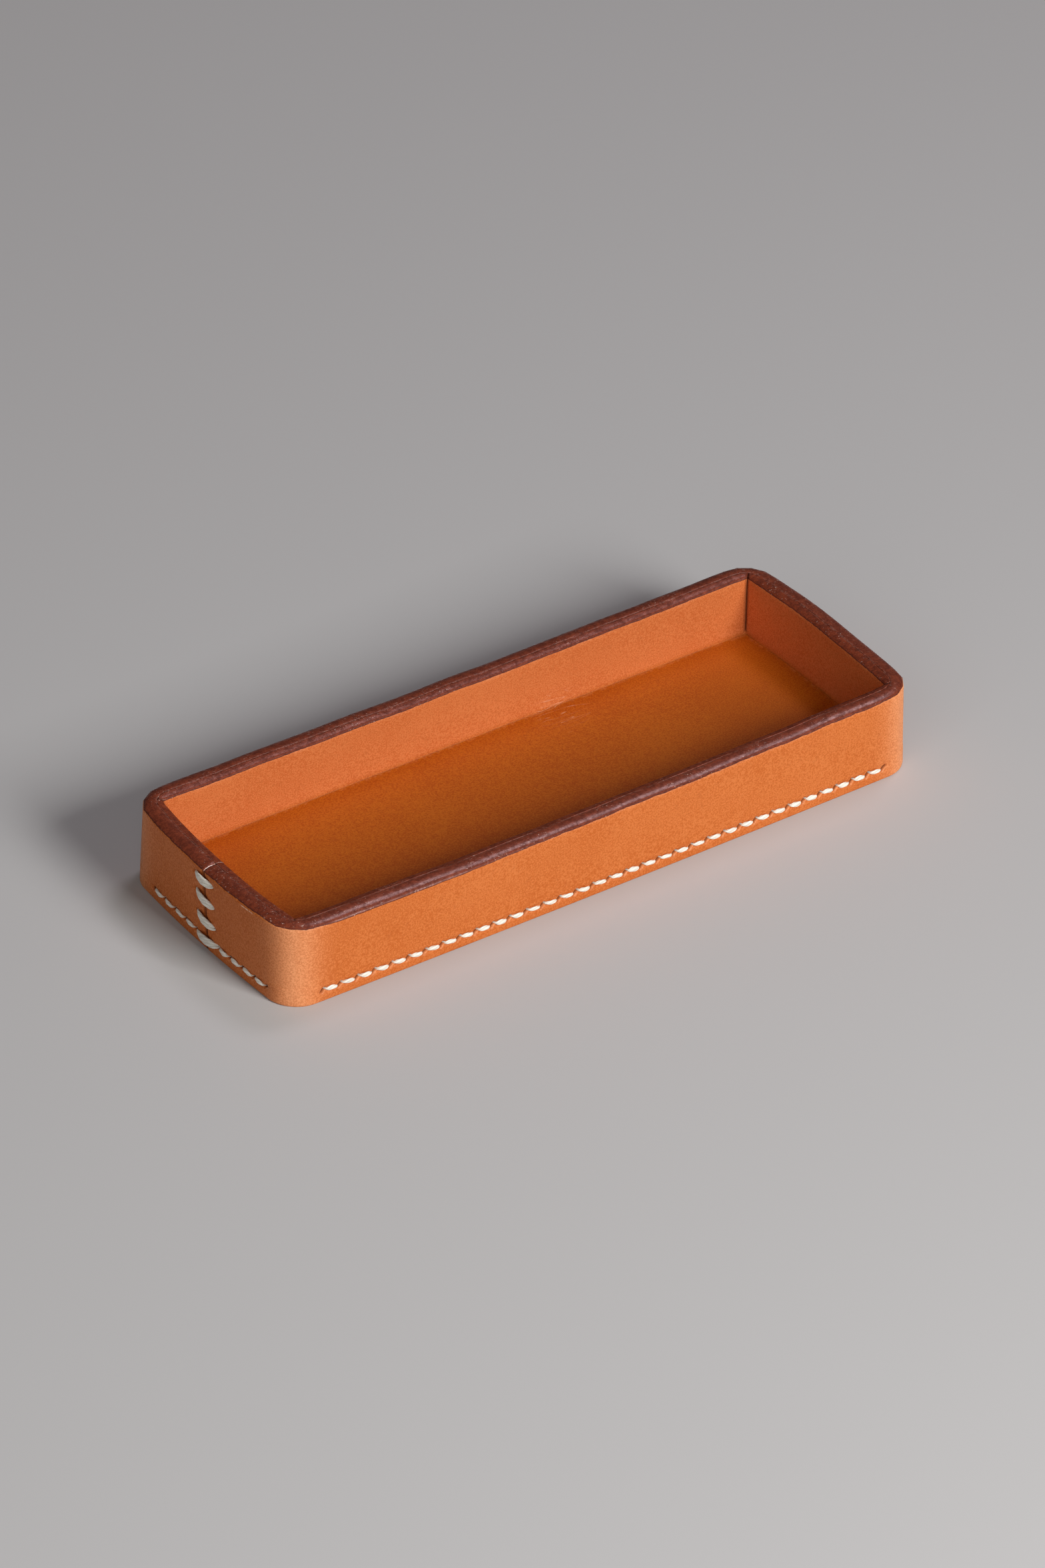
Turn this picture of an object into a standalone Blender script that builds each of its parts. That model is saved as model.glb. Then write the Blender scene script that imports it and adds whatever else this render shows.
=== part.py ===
"""Leather pen tray, rebuilt as its maker puts it together.

A band of thick leather runs round the tray and is laced edge to edge in the middle of the left short
wall. A sole lies inside the foot of the band. A lining, cut as a cross, covers the sole, and its four
flaps are folded up against the band. Waxed thread is saddle stitched from the foot of the band,
slanting down through the band and the sole, into a groove under the sole.

Every piece is modelled straight first, and settle() then gives all of them the slight belly, lean and
sag of the finished tray, so that what fits together straight still fits.

Metres, +Z up. The origin is on the table under the middle of the tray. +X runs along the tray, and the
laced wall faces -X.
"""

import math
from collections import namedtuple

import bmesh
import bpy
from mathutils import Vector

# Driving dimensions.
LENGTH = 0.190  # outside, at the foot of the corners
WIDTH = 0.071
HEIGHT = 0.0242  # the rim, at the corners
CORNER_RADIUS = 0.008  # outside
BAND_THICKNESS = 0.0036
LINING_THICKNESS = 0.0021
SOLE_THICKNESS = 0.0034
GLUE_GAP = 0.0003  # between two layers of leather
STITCH_PITCH = 0.005  # along the long walls
SIDE_PITCH = 0.0049  # along the short walls
STITCH_HEIGHT = 0.00345  # from the table to the middle of the stitches
THREAD_DIAMETER = 0.00095

# Edges of the leather.
RIM_ROUND_OUTSIDE = 0.0026  # how far in the outer half of the domed rim curves
RIM_ROUND_INSIDE = 0.0016
RIM_DOME_SHARE = 0.45  # how far down it curves, for each metre in
FOOT_ROUND = 0.0006
FOLD_RADIUS = 0.0018  # the outside of the lining's folds
CREASE_RADIUS = 0.0006  # the inside of the lining's folds
FLAP_GAP = 0.0003  # the seam between two flaps of the lining

# How far the walls settle out of the straight.
SHORT_WALL_BELLY_FOOT = 0.0016
SHORT_WALL_BELLY_RIM = 0.0022
LONG_WALL_BELLY = 0.0006
RIM_LEAN = 0.0006  # inwards, at the rim
LONG_RIM_SAG = 0.0010
SHORT_RIM_SAG = 0.0004
FRONT_RIM_TILT = 0.0007  # how much higher the front rim is at its right end, and lower at its left

# The saddle stitched rows.
ROW_END_MARGIN = 0.0019  # from a row's end to the start of the rounded corner
EXIT_INSET = 0.0066  # from the outer face to the stitches under the sole
THREAD_CLEARANCE = 0.00015  # round the thread in its slits and grooves
STRAND_GAP = 0.0002  # between the two strands in one slit
SLIT_TILT = math.radians(43)  # of the awl slits, against the row
GROOVE_FLARE = 0.0004  # the outer groove's mouth over its bed, on each side
SOLE_STITCH_LIFT = 0.00025  # the stitches under the sole, above the table

# The laced joint.
JOINT_GAP = 0.0003
JOINT_SKEW = 0.0022  # how far right of its top the foot of the joint lies, seen from outside
JOINT_GROOVE = 0.0004  # how far the corners of the two ends are cut off, for a V along the joint
CROSS_STITCHES = 4
CROSS_STITCH_REACH = 0.0035  # from the joint to the holes
LOWEST_CROSS_STITCH_REACH = 0.0042  # almost to the first slits of the rows beside it
TOP_CROSS_STITCH_DROP = 0.0036  # from the rim to the highest cross stitch
CROSS_STITCH_LIFT = 0.0003  # the thread's middle, proud of the wall

OVERRUN = 0.001  # how far cutters run past what they cut

# How finely the corners are rounded, and into how many bays a long and a short wall bend.
CORNER_STEPS = 6
LONG_BAYS = 7
SHORT_BAYS = 7

UP = Vector((0, 0, 1))
FLOOR_TOP = SOLE_THICKNESS + GLUE_GAP + LINING_THICKNESS
WALL_THICKNESS = BAND_THICKNESS + GLUE_GAP + LINING_THICKNESS
STRAND_SPACING = THREAD_DIAMETER + STRAND_GAP
HOLE_RADIUS = THREAD_DIAMETER / 2 + THREAD_CLEARANCE
GROOVE_DEPTH = HOLE_RADIUS
SOLE_THREAD_HEIGHT = SOLE_STITCH_LIFT + THREAD_DIAMETER / 2

# One wall as seen from outside: its middle at the foot, the way to the right, and the way in.
Wall = namedtuple("Wall", "middle right inward")
# A stitched row: its wall, and where its first hole, its pitches and its last hole lie.
Row = namedtuple("Row", "wall first pitch stitches")


def settle(point):
    """Where a point of the straight tray ends up once the walls have bellied, leant in and sagged."""
    u, v, rise = point.x / (LENGTH / 2), point.y / (WIDTH / 2), point.z / HEIGHT
    belly_x = SHORT_WALL_BELLY_FOOT + (SHORT_WALL_BELLY_RIM - SHORT_WALL_BELLY_FOOT) * rise
    out_x = belly_x * (1 - v * v) - RIM_LEAN * rise
    out_y = LONG_WALL_BELLY * (1 - u * u) - RIM_LEAN * rise
    sag = LONG_RIM_SAG * (1 - u * u) + SHORT_RIM_SAG * (1 - v * v)
    tilt = FRONT_RIM_TILT * u * (1 - v) / 2
    return Vector((point.x + u * out_x, point.y + v * out_y, point.z + rise * (tilt - sag)))


def inset_of(point):
    """How far inside the outer face of the straight tray a point lies."""
    dx = abs(point.x) - (LENGTH / 2 - CORNER_RADIUS)
    dy = abs(point.y) - (WIDTH / 2 - CORNER_RADIUS)
    return CORNER_RADIUS - math.hypot(max(dx, 0), max(dy, 0)) - min(max(dx, dy), 0)


def outline(inset, radius):
    """A rounded rectangle, this far inside the outer face, anticlockwise from its left side."""
    points = []
    for quarter, (side_x, side_y) in enumerate(((-1, -1), (1, -1), (1, 1), (-1, 1))):
        centre = Vector((side_x * (LENGTH / 2 - inset - radius), side_y * (WIDTH / 2 - inset - radius)))
        for step in range(CORNER_STEPS + 1 if radius > 0 else 1):
            angle = math.pi + (quarter + step / CORNER_STEPS) * math.pi / 2
            points.append(centre + radius * Vector((math.cos(angle), math.sin(angle))))
    return points


def inside_band():
    """The outline of what fits inside the band."""
    inset = BAND_THICKNESS + GLUE_GAP
    return outline(inset, max(CORNER_RADIUS - inset, 0))


def bevel(bm, chosen, radius, segments):
    """Rounds the edges whose two ends both pass the test."""
    edges = [edge for edge in bm.edges if all(chosen(vert.co) for vert in edge.verts)]
    bmesh.ops.bevel(bm, geom=edges, offset=radius, segments=segments, profile=0.5, affect="EDGES")


def dome_rim(bm, chosen, width, segments):
    """Rounds the chosen edges of the rim over this width, and then flattens the round."""
    bevel(bm, chosen, width, segments)
    for vert in bm.verts:
        if vert.co.z > HEIGHT / 2:
            vert.co.z = HEIGHT - RIM_DOME_SHARE * (HEIGHT - vert.co.z)


def prism(points, low, high):
    """A solid of this outline, between two heights."""
    bm = bmesh.new()
    base = bm.faces.new([bm.verts.new((point.x, point.y, low)) for point in points])
    raised = bmesh.ops.extrude_face_region(bm, geom=[base], use_keep_orig=True)
    verts = [item for item in raised["geom"] if isinstance(item, bmesh.types.BMVert)]
    bmesh.ops.translate(bm, verts=verts, vec=(high - low) * UP)
    bmesh.ops.recalc_face_normals(bm, faces=bm.faces)
    return bm


def at(wall, along, depth, height):
    """A point on or in a wall: along to the right of its middle, depth in from its face."""
    return wall.middle + along * wall.right + depth * wall.inward + height * UP


def add_block(bm, wall, along, depth, outer_heights, inner_heights):
    """A block in a wall's terms, whose height may differ between its outer and its inner face."""
    cube = bmesh.ops.create_cube(bm, size=2)
    for vert in cube["verts"]:
        right, inner, upper = (axis > 0 for axis in vert.co)
        heights = inner_heights if inner else outer_heights
        vert.co = at(wall, along[right], depth[inner], heights[upper])


def add_slit(bm, start, end, start_reach, end_reach):
    """A slit from start to end, as wide as the thread and long enough for a strand a reach either side."""
    cube = bmesh.ops.create_cube(bm, size=2)
    axis = (end - start).normalized()
    for vert in cube["verts"]:
        middle, reach = (end, end_reach) if vert.co.z > 0 else (start, start_reach)
        longways = reach.normalized()
        half_length = reach + HOLE_RADIUS * longways
        vert.co = middle + vert.co.y * half_length + vert.co.x * HOLE_RADIUS * axis.cross(longways)


def joint_shift(height):
    """How far right of the laced wall's middle its joint lies at a height."""
    return JOINT_SKEW * (1 - height / HEIGHT)


def make_walls():
    def wall(inward, half):
        return Wall(-half * inward, inward.cross(UP), inward)

    return {
        "front": wall(Vector((0, 1, 0)), WIDTH / 2),
        "back": wall(Vector((0, -1, 0)), WIDTH / 2),
        "right": wall(Vector((-1, 0, 0)), LENGTH / 2),
        "left": wall(Vector((1, 0, 0)), LENGTH / 2),
    }


def make_rows(walls):
    """The stitched rows: one to a wall, but two on the laced wall, which follow its slanting joint."""
    long_reach = LENGTH / 2 - CORNER_RADIUS - ROW_END_MARGIN
    side_reach = WIDTH / 2 - CORNER_RADIUS - ROW_END_MARGIN
    long_stitches = math.floor(2 * long_reach / STITCH_PITCH)
    half_stitches = math.floor(side_reach / SIDE_PITCH)
    long_first = -long_stitches * STITCH_PITCH / 2
    side_first = -half_stitches * SIDE_PITCH
    shift = joint_shift(STITCH_HEIGHT)
    return {
        "front_thread": Row(walls["front"], long_first, STITCH_PITCH, long_stitches),
        "back_thread": Row(walls["back"], long_first, STITCH_PITCH, long_stitches),
        "right_thread": Row(walls["right"], side_first, SIDE_PITCH, 2 * half_stitches),
        "left_far_thread": Row(walls["left"], side_first + shift, SIDE_PITCH, half_stitches - 1),
        "left_near_thread": Row(walls["left"], SIDE_PITCH + shift, SIDE_PITCH, half_stitches - 1),
    }


class Lane:
    """How a row's two strands lie in each slit.

    The slit slopes from the outer face down to the groove under the sole. On the face the strand of the
    stitch on the left is low and the next one is high, so each stitch slants. Under the sole the two
    strands pass each other side by side.
    """

    def __init__(self, row):
        half = STRAND_SPACING / 2
        drop = STITCH_HEIGHT - SOLE_THREAD_HEIGHT
        slope = math.atan2(drop, EXIT_INSET)
        self.row = row
        self.outer_along = half * math.cos(SLIT_TILT)
        self.outer_across = half * math.sin(SLIT_TILT)
        self.outer_height = self.outer_across / math.cos(slope)
        self.inner_along = half * math.cos(SLIT_TILT / 2)
        self.inner_depth = half * (row.pitch + 2 * self.inner_along) / row.pitch
        self.inner_across = self.inner_depth * math.sin(slope)
        self.across = math.sin(slope) * row.wall.inward + math.cos(slope) * UP

    def hole(self, number):
        return self.row.first + number * self.row.pitch

    def outer(self, number, side):
        """Where a strand bends on the outer face, on the left (-1) or the right (1) of a slit's middle."""
        along = self.hole(number) + side * self.outer_along
        return at(self.row.wall, along, 0, STITCH_HEIGHT + side * self.outer_height)

    def inner(self, number, side):
        """Where it bends under the sole."""
        along = self.hole(number) + side * self.inner_along
        return at(self.row.wall, along, EXIT_INSET + side * self.inner_depth, SOLE_THREAD_HEIGHT)

    def strand(self, first_outside):
        """One needle's way along the row: over a stitch outside, then under the next one inside."""
        points = []
        for number in range(self.row.stitches):
            end = self.outer if (number % 2 == 0) == first_outside else self.inner
            leaving = -1 if end == self.inner and number > 0 else 1
            arriving = -1 if end == self.outer else 1
            points += [end(number, leaving), end(number + 1, arriving)]
        if end == self.outer:
            points.append(self.inner(self.row.stitches, -1))
        return points

    def path(self):
        """The whole thread: its middle is in the first slit, and both its ends sew to the last one."""
        return [*reversed(self.strand(False)), *self.strand(True)]


def cross_stitches():
    """The height of each cross stitch, from the lowest up, and its left and right ends along the wall."""
    lowest = STITCH_HEIGHT - STRAND_SPACING / 2
    rise = (HEIGHT - TOP_CROSS_STITCH_DROP - lowest) / (CROSS_STITCHES - 1)
    reaches = [LOWEST_CROSS_STITCH_REACH] + [CROSS_STITCH_REACH] * (CROSS_STITCHES - 1)
    stitches = []
    for number, reach in enumerate(reaches):
        level = lowest + number * rise
        middle = joint_shift(level)
        stitches.append((level, middle - reach, middle + reach))
    return stitches


def lacing_depth():
    """How deep in the band the lacing runs from one cross stitch to the next."""
    return BAND_THICKNESS - HOLE_RADIUS


def joint_path(wall):
    """The lacing: two strands across the joint at each level, joined behind the band."""
    face, behind = -CROSS_STITCH_LIFT, lacing_depth()
    points = []
    for level, left, right in cross_stitches():
        for height in (level - STRAND_SPACING / 2, level + STRAND_SPACING / 2):
            for along, depth in ((left, behind), (left, face), (right, face), (right, behind)):
                points.append(at(wall, along, depth, height))
    return points


def cut_stitch_grooves(bm, lanes):
    """The shallow groove that each row lies in on the outer face."""
    for lane in lanes:
        end = lane.outer_along + HOLE_RADIUS
        along = (lane.hole(0) - end, lane.hole(lane.row.stitches) + end)
        bed = lane.outer_height + HOLE_RADIUS
        mouth = bed + GROOVE_FLARE * (1 + OVERRUN / GROOVE_DEPTH)
        outer_heights = (STITCH_HEIGHT - mouth, STITCH_HEIGHT + mouth)
        inner_heights = (STITCH_HEIGHT - bed, STITCH_HEIGHT + bed)
        add_block(bm, lane.row.wall, along, (-OVERRUN, GROOVE_DEPTH), outer_heights, inner_heights)


def cut_sole_grooves(bm, lanes):
    """The groove under the sole that keeps each row off the table."""
    for lane in lanes:
        end = lane.inner_along + HOLE_RADIUS
        along = (lane.hole(0) - end, lane.hole(lane.row.stitches) + end)
        half_width = lane.inner_depth + HOLE_RADIUS
        heights = (-OVERRUN, SOLE_THREAD_HEIGHT + HOLE_RADIUS)
        add_block(bm, lane.row.wall, along, (EXIT_INSET - half_width, EXIT_INSET + half_width), heights, heights)


def cut_slits(bm, lanes):
    """The awl slits, through the band and the sole."""
    for lane in lanes:
        wall = lane.row.wall
        outer_reach = lane.outer_along * wall.right + lane.outer_across * lane.across
        inner_reach = lane.inner_along * wall.right + lane.inner_across * lane.across
        for number in range(lane.row.stitches + 1):
            under = at(wall, lane.hole(number), EXIT_INSET, SOLE_THREAD_HEIGHT)
            face = at(wall, lane.hole(number), 0, STITCH_HEIGHT)
            inwards = (under - face).normalized()
            end = under + lane.inner_depth * inwards
            add_slit(bm, face - OVERRUN * inwards, end, outer_reach, inner_reach)


def cut_cross_troughs(bm, wall):
    """Where each cross stitch has pressed into the leather, a little wider than its holes."""
    half = STRAND_SPACING / 2 + HOLE_RADIUS + THREAD_CLEARANCE
    for level, left, right in cross_stitches():
        heights = (level - half, level + half)
        add_block(bm, wall, (left, right), (-OVERRUN, HOLE_RADIUS - CROSS_STITCH_LIFT), heights, heights)


def cut_cross_holes(bm, wall):
    """The lacing's holes, each for two strands, one over the other."""
    strand_reach = STRAND_SPACING / 2 * UP
    for level, *ends in cross_stitches():
        for along in ends:
            start = at(wall, along, -OVERRUN, level)
            end = at(wall, along, BAND_THICKNESS + OVERRUN, level)
            add_slit(bm, start, end, strand_reach, strand_reach)


def cut_lacing_seat(bm, wall):
    """The thinned patch behind the joint that the lacing lies in."""
    levels, lefts, rights = zip(*cross_stitches())
    margin = STRAND_SPACING / 2 + THREAD_DIAMETER
    heights = (levels[0] - margin, levels[-1] + margin)
    depth = (BAND_THICKNESS - 2 * HOLE_RADIUS, BAND_THICKNESS + OVERRUN)
    along = (min(lefts) - THREAD_DIAMETER, max(rights) + THREAD_DIAMETER)
    add_block(bm, wall, along, depth, heights, heights)


def cut_lining_inside(bm):
    """Nothing but the inside of the tray, with the soft crease where the floor turns up."""
    inside = prism(outline(WALL_THICKNESS, 0), FLOOR_TOP, HEIGHT + OVERRUN)
    bevel(inside, lambda co: co.z < FLOOR_TOP + CREASE_RADIUS / 2, CREASE_RADIUS, 2)
    mesh = bpy.data.meshes.new("lining_inside")
    inside.to_mesh(mesh)
    inside.free()
    bm.from_mesh(mesh)
    bpy.data.meshes.remove(mesh)


def cut_flap_seams(bm):
    """The four open seams between the lining's flaps, from each inner corner out."""
    for side_x in (-1, 1):
        for side_y in (-1, 1):
            out = Vector((side_x, side_y, 0)).normalized()
            across = out.cross(UP)
            corner = Vector((side_x * (LENGTH / 2 - WALL_THICKNESS), side_y * (WIDTH / 2 - WALL_THICKNESS), 0))
            seam = Wall(corner, across, out)
            along = (-FLAP_GAP / 2, FLAP_GAP / 2)
            heights = (FLOOR_TOP + CREASE_RADIUS, HEIGHT + 2 * OVERRUN)
            add_block(bm, seam, along, (-OVERRUN, 2 * LINING_THICKNESS), heights, heights)


def leather(name, colour, roughness):
    return material(name, colour, roughness, 0.3)


def waxed_thread():
    return material("waxed_thread", (0.78, 0.74, 0.66), 0.55, 0.5)


def material(name, colour, roughness, specular):
    made = bpy.data.materials.new(name)
    made.use_nodes = True
    shader = made.node_tree.nodes["Principled BSDF"]
    shader.inputs["Base Color"].default_value = (*colour, 1)
    shader.inputs["Roughness"].default_value = roughness
    shader.inputs["Metallic"].default_value = 0
    shader.inputs["Specular IOR Level"].default_value = specular
    made.diffuse_color = (*colour, 1)
    return made


def add_object(name, bm, collection):
    mesh = bpy.data.meshes.new(name)
    bmesh.ops.recalc_face_normals(bm, faces=bm.faces)
    bm.to_mesh(mesh)
    bm.free()
    made = bpy.data.objects.new(name, mesh)
    collection.objects.link(made)
    return made


def make_cutter(name, collection, shape, *what):
    bm = bmesh.new()
    shape(bm, *what)
    cutter = add_object(name, bm, collection)
    cutter.hide_render = True
    cutter.display_type = "WIRE"
    return cutter


def cut(piece, cutters):
    """Takes the cutters out of a piece, and leaves it a plain mesh."""
    for cutter in cutters:
        boolean = piece.modifiers.new(cutter.name, "BOOLEAN")
        boolean.operation = "DIFFERENCE"
        boolean.solver = "EXACT"
        boolean.object = cutter
    bpy.context.view_layer.update()
    cut_mesh = bpy.data.meshes.new_from_object(piece.evaluated_get(bpy.context.evaluated_depsgraph_get()))
    piece.modifiers.clear()
    old = piece.data
    piece.data = cut_mesh
    bpy.data.meshes.remove(old)


def finish(piece, made):
    """Cuts a straight piece's faces into bays, so that they can bend, settles it and gives it its material."""
    bm = bmesh.new()
    bm.from_mesh(piece.data)
    for side, size, bays in ((Vector((1, 0, 0)), LENGTH, LONG_BAYS), (Vector((0, 1, 0)), WIDTH, SHORT_BAYS)):
        for bay in range(1, bays):
            middle = (bay / bays - 1 / 2) * size * side
            everything = bm.verts[:] + bm.edges[:] + bm.faces[:]
            bmesh.ops.bisect_plane(bm, geom=everything, plane_co=middle, plane_no=side)
    for vert in bm.verts:
        vert.co = settle(vert.co)
    bm.to_mesh(piece.data)
    bm.free()
    piece.data.materials.clear()
    piece.data.materials.append(made)
    piece.data.shade_smooth()
    piece.data.set_sharp_from_angle(angle=math.radians(35))


def slant_joint(bm):
    """Moves both ends of the straight band to where the joint lies at each height."""
    for vert in bm.verts:
        if vert.co.x < 0 and abs(vert.co.y) < JOINT_GAP + JOINT_GROOVE:
            vert.co.y -= joint_shift(vert.co.z)


def make_band(collection, cutters, made):
    joint = Vector((-LENGTH / 2, JOINT_GAP / 2))
    path = [Vector((joint.x, -joint.y)), *outline(0, CORNER_RADIUS), joint]
    bm = bmesh.new()
    foot = [bm.verts.new((point.x, point.y, 0)) for point in path]
    edges = [bm.edges.new(pair) for pair in zip(foot, foot[1:])]
    raised = bmesh.ops.extrude_edge_only(bm, edges=edges)
    verts = [item for item in raised["geom"] if isinstance(item, bmesh.types.BMVert)]
    bmesh.ops.translate(bm, verts=verts, vec=HEIGHT * UP)
    bmesh.ops.recalc_face_normals(bm, faces=bm.faces)
    bmesh.ops.solidify(bm, geom=bm.faces[:], thickness=BAND_THICKNESS)
    middle = BAND_THICKNESS / 2
    dome_rim(bm, lambda co: co.z > HEIGHT - middle and inset_of(co) < middle, RIM_ROUND_OUTSIDE, 4)
    bevel(bm, lambda co: co.z < FOOT_ROUND and inset_of(co) < middle, FOOT_ROUND, 2)
    is_joint_corner = lambda co: abs(co.y) < JOINT_GAP and inset_of(co) < RIM_ROUND_OUTSIDE + GLUE_GAP
    bevel(bm, is_joint_corner, JOINT_GROOVE, 1)
    slant_joint(bm)
    band = add_object("outer_band", bm, collection)
    cut(band, cutters)
    finish(band, made)


def make_sole(collection, cutters, made):
    sole = add_object("sole", prism(inside_band(), 0, SOLE_THICKNESS), collection)
    cut(sole, cutters)
    finish(sole, made)


def make_lining(collection, cutters, made):
    under = SOLE_THICKNESS + GLUE_GAP
    bm = prism(inside_band(), under, HEIGHT)
    bevel(bm, lambda co: co.z < under + GLUE_GAP, FOLD_RADIUS, 2)
    lining = add_object("lining", bm, collection)
    cut(lining, cutters)
    bm = bmesh.new()
    bm.from_mesh(lining.data)
    inside_x, inside_y = LENGTH / 2 - WALL_THICKNESS + GLUE_GAP, WIDTH / 2 - WALL_THICKNESS + GLUE_GAP
    is_rim = lambda co: co.z > HEIGHT - GLUE_GAP and abs(co.x) < inside_x and abs(co.y) < inside_y
    dome_rim(bm, is_rim, RIM_ROUND_INSIDE, 3)
    bm.to_mesh(lining.data)
    bm.free()
    finish(lining, made)


def make_thread(name, collection, path, made):
    """A round thread along a path of the straight tray, settled with it."""
    curve = bpy.data.curves.new(name, "CURVE")
    curve.dimensions = "3D"
    curve.bevel_depth = THREAD_DIAMETER / 2
    curve.bevel_resolution = 1
    curve.use_fill_caps = True
    spline = curve.splines.new("POLY")
    spline.points.add(len(path) - 1)
    for spot, point in zip(spline.points, path):
        spot.co = (*settle(point), 1)
    curve.materials.append(made)
    collection.objects.link(bpy.data.objects.new(name, curve))


def main():
    for old in list(bpy.data.objects):
        bpy.data.objects.remove(old)
    pieces = bpy.data.collections.new("leather_tray")
    cutters = bpy.data.collections.new("cutters")
    for collection in (pieces, cutters):
        bpy.context.scene.collection.children.link(collection)

    walls = make_walls()
    rows = make_rows(walls)
    lanes = {name: Lane(row) for name, row in rows.items()}
    every_lane, left = list(lanes.values()), walls["left"]

    slits = make_cutter("slit_cutter", cutters, cut_slits, every_lane)
    band_cutters = [
        make_cutter("cross_trough_cutter", cutters, cut_cross_troughs, left),
        make_cutter("cross_hole_cutter", cutters, cut_cross_holes, left),
        make_cutter("lacing_seat_cutter", cutters, cut_lacing_seat, left),
        make_cutter("stitch_groove_cutter", cutters, cut_stitch_grooves, every_lane),
        slits,
    ]
    sole_cutters = [make_cutter("sole_groove_cutter", cutters, cut_sole_grooves, every_lane), slits]
    lining_cutters = [
        make_cutter("lining_inside_cutter", cutters, cut_lining_inside),
        make_cutter("flap_seam_cutter", cutters, cut_flap_seams),
    ]

    grain = leather("grain_leather", (0.62, 0.20, 0.06), 0.45)
    flesh = leather("sole_leather", (0.45, 0.17, 0.07), 0.7)
    make_band(pieces, band_cutters, grain)
    make_sole(pieces, sole_cutters, flesh)
    make_lining(pieces, lining_cutters, leather("lining_leather", (0.58, 0.18, 0.05), 0.5))
    thread = waxed_thread()
    for name, lane in lanes.items():
        make_thread(name, pieces, lane.path(), thread)
    make_thread("joint_thread", pieces, joint_path(left), thread)


main()
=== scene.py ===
import math

import bmesh
import bpy
import numpy as np
from mathutils import Matrix, Vector


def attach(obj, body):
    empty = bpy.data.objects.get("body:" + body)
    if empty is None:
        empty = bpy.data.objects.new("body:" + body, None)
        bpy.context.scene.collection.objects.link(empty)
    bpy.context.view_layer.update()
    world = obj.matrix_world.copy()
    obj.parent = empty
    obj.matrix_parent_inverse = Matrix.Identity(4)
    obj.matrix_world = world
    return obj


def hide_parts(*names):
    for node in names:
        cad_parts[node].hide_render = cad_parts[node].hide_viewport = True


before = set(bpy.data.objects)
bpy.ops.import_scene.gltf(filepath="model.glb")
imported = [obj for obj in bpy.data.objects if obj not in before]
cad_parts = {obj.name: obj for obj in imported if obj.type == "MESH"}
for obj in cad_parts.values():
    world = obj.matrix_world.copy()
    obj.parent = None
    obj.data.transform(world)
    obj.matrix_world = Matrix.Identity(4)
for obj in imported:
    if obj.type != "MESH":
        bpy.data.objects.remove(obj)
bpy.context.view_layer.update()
print("frame loaded:", len(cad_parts), "nodes")

# The tray before its walls settle, in metres: +X runs along it, the laced wall faces -X, the table is z = 0.
tray = {
    "length": 0.190,
    "width": 0.071,
    "height": 0.0242,
    "cornerRadius": 0.008,
    "bandThickness": 0.0036,
    "liningThickness": 0.0021,
    "soleThickness": 0.0034,
    "glueGap": 0.0003,
    "jointGap": 0.00012,
}
halfLength, halfWidth, height = tray["length"] / 2, tray["width"] / 2, tray["height"]
floorTop = tray["soleThickness"] + tray["glueGap"] + tray["liningThickness"]
wallThickness = tray["bandThickness"] + tray["glueGap"] + tray["liningThickness"]

# The marks that the materials read as distances are in millimetres; farAway is past all that they look for.
millimetres = 1000
farAway = 9

# How the walls belly, lean in and sag, how far the front rim is out of level, and how far hand work strays.
settling = {
    "shortBellyFoot": 0.0016,
    "shortBellyRim": 0.0022,
    "longBelly": 0.0006,
    "lean": 0.0006,
    "longSag": 0.0010,
    "shortSag": 0.0004,
    "frontTilt": 0.0007,
    "stray": 0.00008,
    "strayWave": 0.034,
}


def settled(points):
    # With u = x / half length, v = y / half width and r = z / height:
    # x' = x + u (belly(r) (1 - v²) - lean r), y' = y + v (belly (1 - u²) - lean r),
    # z' = z + r (tilt u (1 - v) / 2 - sag(u, v)), and then r times a slow wave of the place is added to each.
    x, y, z = np.moveaxis(points, -1, 0)
    u, v, r = x / halfLength, y / halfWidth, z / height
    footBelly, rimBelly = settling["shortBellyFoot"], settling["shortBellyRim"]
    outX = (footBelly + (rimBelly - footBelly) * r) * (1 - v * v) - settling["lean"] * r
    outY = settling["longBelly"] * (1 - u * u) - settling["lean"] * r
    sag = settling["longSag"] * (1 - u * u) + settling["shortSag"] * (1 - v * v)
    tilt = settling["frontTilt"] * u * (1 - v) / 2
    k = 2 * np.pi / settling["strayWave"]
    stray = settling["stray"] * r
    # The factors and phases only keep the three waves unlike each other.
    strayX = stray * np.sin(k * y + 1.3 * np.sin(k * x / 3 + 0.4))
    strayY = stray * np.sin(k * x + 1.1 * np.sin(k * x / 2.7 + 2.1) + 0.7)
    strayZ = stray * np.sin(0.8 * k * (x - y) + 1.7 * np.sin(k * x / 2.3) + 0.2)
    return np.stack([x + u * outX + strayX, y + v * outY + strayY, z + r * (tilt - sag) + strayZ], -1)


# The walk round the outline starts at the joint and goes anticlockwise: half a wall, a corner, a wall, ...
cornerX, cornerY = halfLength - tray["cornerRadius"], halfWidth - tray["cornerRadius"]
quarter = math.pi / 2 * tray["cornerRadius"]
longWall, shortWall = 2 * cornerX, 2 * cornerY
stops = np.cumsum([0, cornerY, quarter, longWall, quarter, shortWall, quarter, longWall, quarter, cornerY])
stopX = cornerX * np.array([-1, -1, -1, 1, 1, 1, 1, -1, -1, -1])
stopY = cornerY * np.array([0, -1, -1, -1, -1, 1, 1, 1, 1, 0])
stopAngle = math.pi * (1 + np.array([0, 0, 1, 1, 2, 2, 3, 3, 4, 4]) / 2)
cornerWays = stops[[1, 3, 5, 7]] + quarter / 2
wholeWay = stops[-1]
middleOf = {
    "front": stops[2] + cornerX,
    "right": stops[4] + cornerY,
    "back": stops[6] + cornerX,
    "left": 0,
}

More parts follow.
